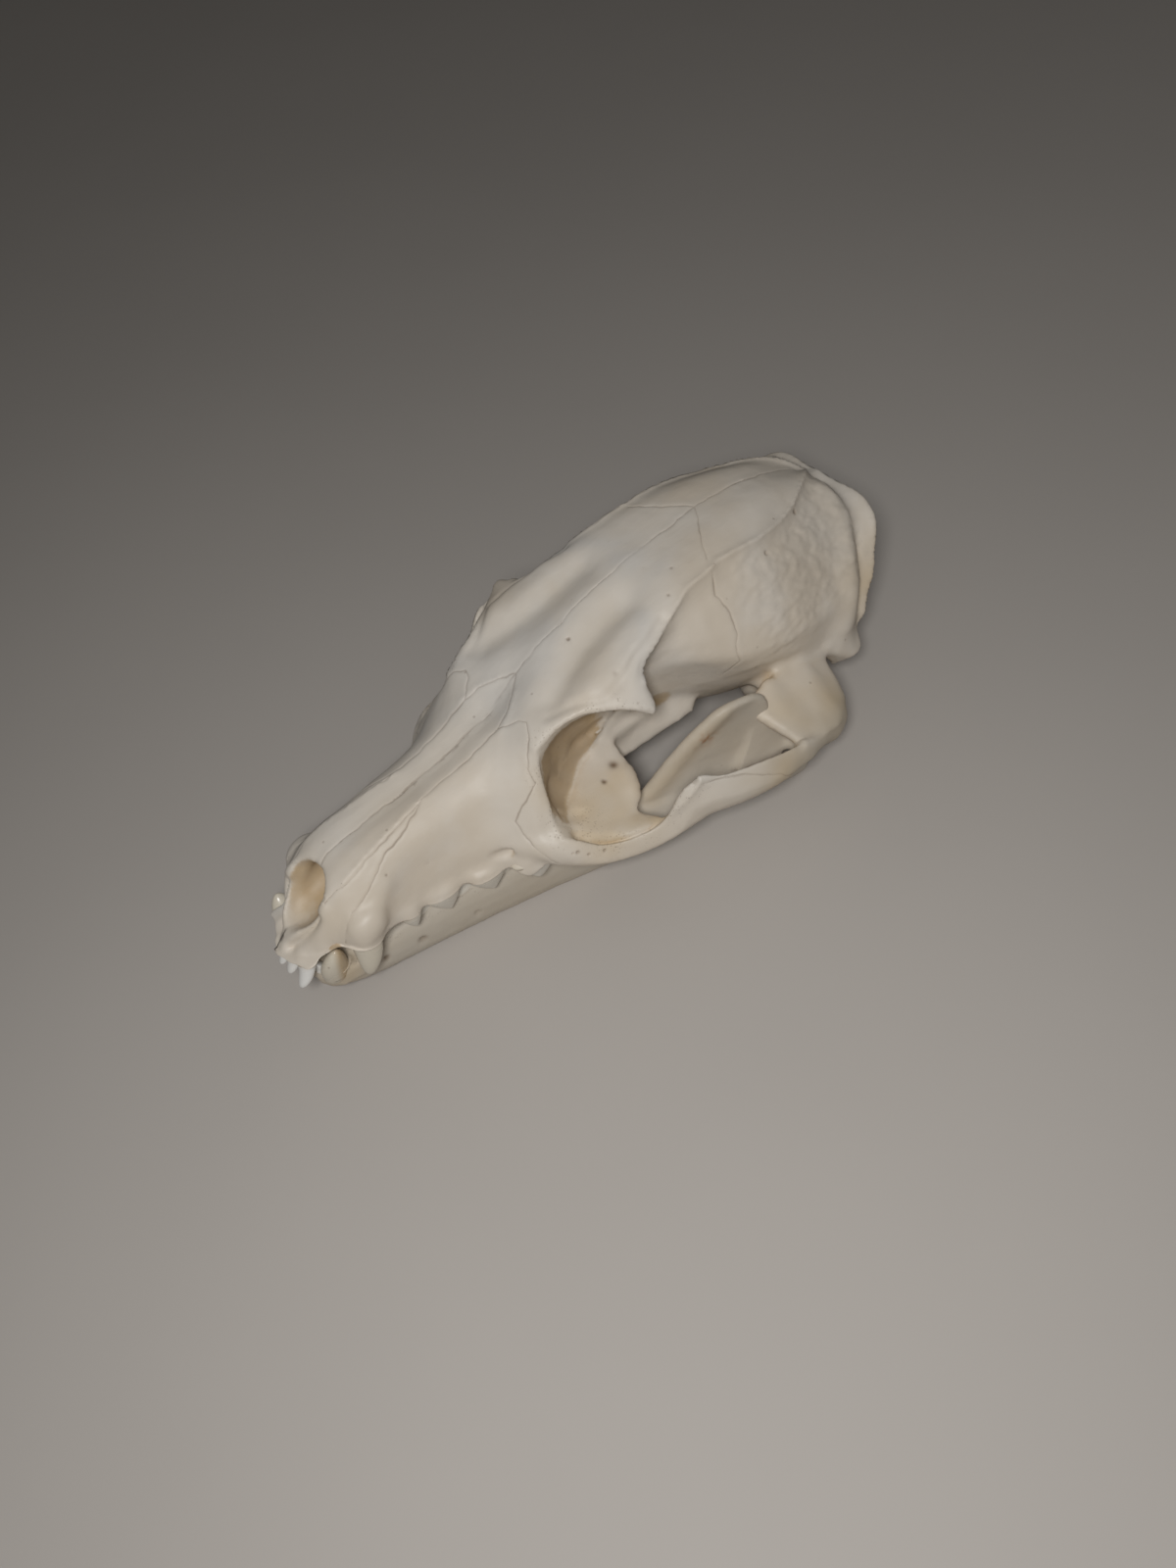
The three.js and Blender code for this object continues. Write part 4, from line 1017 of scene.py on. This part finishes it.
def shape_crown(verts, layers, row, direction, side, whiteness, browned):
    """Turns a round ball of vertices into a tooth: the lower half is its root, the upper half its crown."""
    along, aside, gum, length, breadth, crown, back, out, kind = row
    turn = ROW_TURN * math.atan2(aside, MIDDLE_ALONG)
    for vert in verts:
        u, v, w = vert.co
        ring = math.hypot(u, v)
        unit = 1 / ring if ring > TINY else 0.0
        share = w
        if w < 0:
            share = w * (0.12 if kind == "peg" else 0.35)
            u = u * math.cos(0.9 * w)
            v = v * math.cos(0.9 * w) - 3.2 * w * w / breadth
        elif kind == "peg":
            size = (1 - w ** 5) ** 0.5 * unit
            u, v = u * size, v * size
        elif kind == "fang":
            size = (1 - w ** 2.6) ** 0.56 * unit
            u, v = u * size * (1 + 0.05 * math.sin(math.pi * w)), v * size
        elif kind == "spade":
            thin = (1 - 0.72 * w ** 0.8) * math.sqrt(max(1 - w ** 6, 0))
            wide = (0.86 + 0.22 * w) * max(1 - w ** 7, 0) ** 0.5
            u, v = u * unit * thin, v * unit * wide
        else:
            top = 0.16
            for cu, cv, tall, reach in kind:
                near = max(0.0, 1 - math.hypot(u - cu, (v - cv) * 0.8) / reach)
                top = max(top, tall * near ** 0.85)
            share = top * (1 - ring ** 5) ** 0.45 if ring < 1 else 0.0
            pinch = 1 - 0.35 * share
            u, v = u * (1 - 0.06 * (1 - share)), v * pinch
        lift = max(share, 0)
        across = 0.5 * breadth * v + out * lift
        lengthwise = 0.5 * length * u + back * lift * lift
        alongside = along + lengthwise * math.cos(turn) - across * math.sin(turn)
        outward = aside + lengthwise * math.sin(turn) + across * math.cos(turn)
        behind = (u + 0.25) * 2 if browned else 0.0
        for layer, value in zip(layers, (share, whiteness, min(max(behind, 0.0), 1.0))):
            vert[layer] = value
        vert.co = place(alongside, side * outward, gum + direction * share * crown)


class SKULL_OT_teeth(bpy.types.Operator):
    """Make the teeth of both jaws"""

    bl_idname = "skull.teeth"
    bl_label = "Make the teeth"

    def execute(self, context):
        looks = context.scene.skull_bone
        material = enamel_material(bpy.data.node_groups["dry_bone_grain"], looks)
        for name, rows, others, direction in (("upper_teeth", UPPER_TEETH, RIGHT_UPPER_TEETH, -1),
                                              ("lower_teeth", LOWER_TEETH, RIGHT_LOWER_TEETH, 1)):
            bm = bmesh.new()
            layers = [bm.verts.layers.float.new(kind) for kind in ("crown", "white", "brown")]
            for side in (1, -1):
                for tooth, row in rows.items():
                    row = others.get(tooth, row) if side < 0 else row
                    ball = bmesh.ops.create_uvsphere(bm, u_segments=24, v_segments=18, radius=1)
                    whiteness = WHITENESS.get(tooth, PLAIN_WHITENESS)
                    browned = side > 0 and direction > 0 and tooth == "fang"
                    shape_crown(ball["verts"], layers, row, direction, side, whiteness, browned)
            bmesh.ops.recalc_face_normals(bm, faces=bm.faces[:])
            piece = piece_from(name, bm)
            finer = piece.modifiers.new("finer", "SUBSURF")
            finer.levels = finer.render_levels = 1
            shade_smooth(piece.data)
            piece.data.materials.append(material)
            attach(piece, "root")
        return {"FINISHED"}


class SKULL_OT_stage(bpy.types.Operator):
    """Set the floor, the soft light and the camera"""

    bl_idname = "skull.stage"
    bl_label = "Set the stage"

    def execute(self, context):
        stage = context.scene.skull_stage
        bm = bmesh.new()
        bmesh.ops.create_grid(bm, x_segments=4, y_segments=4, size=stage.floor_size / 2)
        floor = piece_from("floor", bm)
        floor.data.materials.append(floor_material(stage.floor_colour))
        self.lamp("key_light", KEY_AT, KEY_SIZE, stage.key_power)
        self.lamp("fill_light", FILL_AT, FILL_SIZE, stage.fill_power)
        world = bpy.data.worlds.new("even_light")
        world.use_nodes = True
        backdrop = world.node_tree.nodes["Background"]
        backdrop.inputs["Color"].default_value = rgba(SKY_COLOUR)
        backdrop.inputs["Strength"].default_value = stage.sky
        context.scene.world = world
        context.scene.view_settings.view_transform = "Standard"
        data = bpy.data.cameras.new("camera")
        data.lens = stage.lens
        data.sensor_width = SENSOR_WIDTH
        data.clip_start = NEAREST_VIEW
        camera = bpy.data.objects.new("camera", data)
        right = Vector(CAMERA_RIGHT).normalized()
        up = Vector(CAMERA_UP)
        up = (up - right * up.dot(right)).normalized()
        back = right.cross(up)
        turn = Matrix((right, up, back)).transposed().to_4x4()
        camera.matrix_world = Matrix.Translation(place(*CAMERA_AT)) @ turn
        context.scene.collection.objects.link(camera)
        context.scene.camera = camera
        return {"FINISHED"}

    def lamp(self, name, at, size, power):
        data = bpy.data.lights.new(name, "AREA")
        data.shape = "DISK"
        data.size = size
        data.energy = power
        lamp = bpy.data.objects.new(name, data)
        lamp.location = at
        lamp.visible_camera = False
        aim = Vector(LIGHTS_AIM) - Vector(at)
        lamp.rotation_euler = aim.to_track_quat("-Z", "Y").to_euler()
        bpy.context.scene.collection.objects.link(lamp)


class SKULL_PT_panel(bpy.types.Panel):
    """Buttons and settings of the skull"""

    bl_idname = "SKULL_PT_panel"
    bl_label = "Coyote skull"
    bl_space_type = "VIEW_3D"
    bl_region_type = "UI"
    bl_category = "Skull"

    def draw(self, context):
        for operator in OPERATORS:
            self.layout.operator(operator.bl_idname)
        for settings in (context.scene.skull_bone, context.scene.skull_stage):
            for name in settings.__annotations__:
                self.layout.prop(settings, name)


OPERATORS = (SKULL_OT_stage, SKULL_OT_cranium, SKULL_OT_mandibles, SKULL_OT_teeth)
CLASSES = (SkullBoneSettings, SkullStageSettings, *OPERATORS, SKULL_PT_panel)


def register():
    for cls in CLASSES:
        bpy.utils.register_class(cls)
    bpy.types.Scene.skull_bone = PointerProperty(type=SkullBoneSettings)
    bpy.types.Scene.skull_stage = PointerProperty(type=SkullStageSettings)


def unregister():
    del bpy.types.Scene.skull_stage
    del bpy.types.Scene.skull_bone
    for cls in reversed(CLASSES):
        bpy.utils.unregister_class(cls)


def main():
    register()
    grain_group()
    bpy.ops.skull.stage()
    bpy.ops.skull.cranium()
    bpy.ops.skull.mandibles()
    bpy.ops.skull.teeth()


if __name__ == "__main__":
    main()
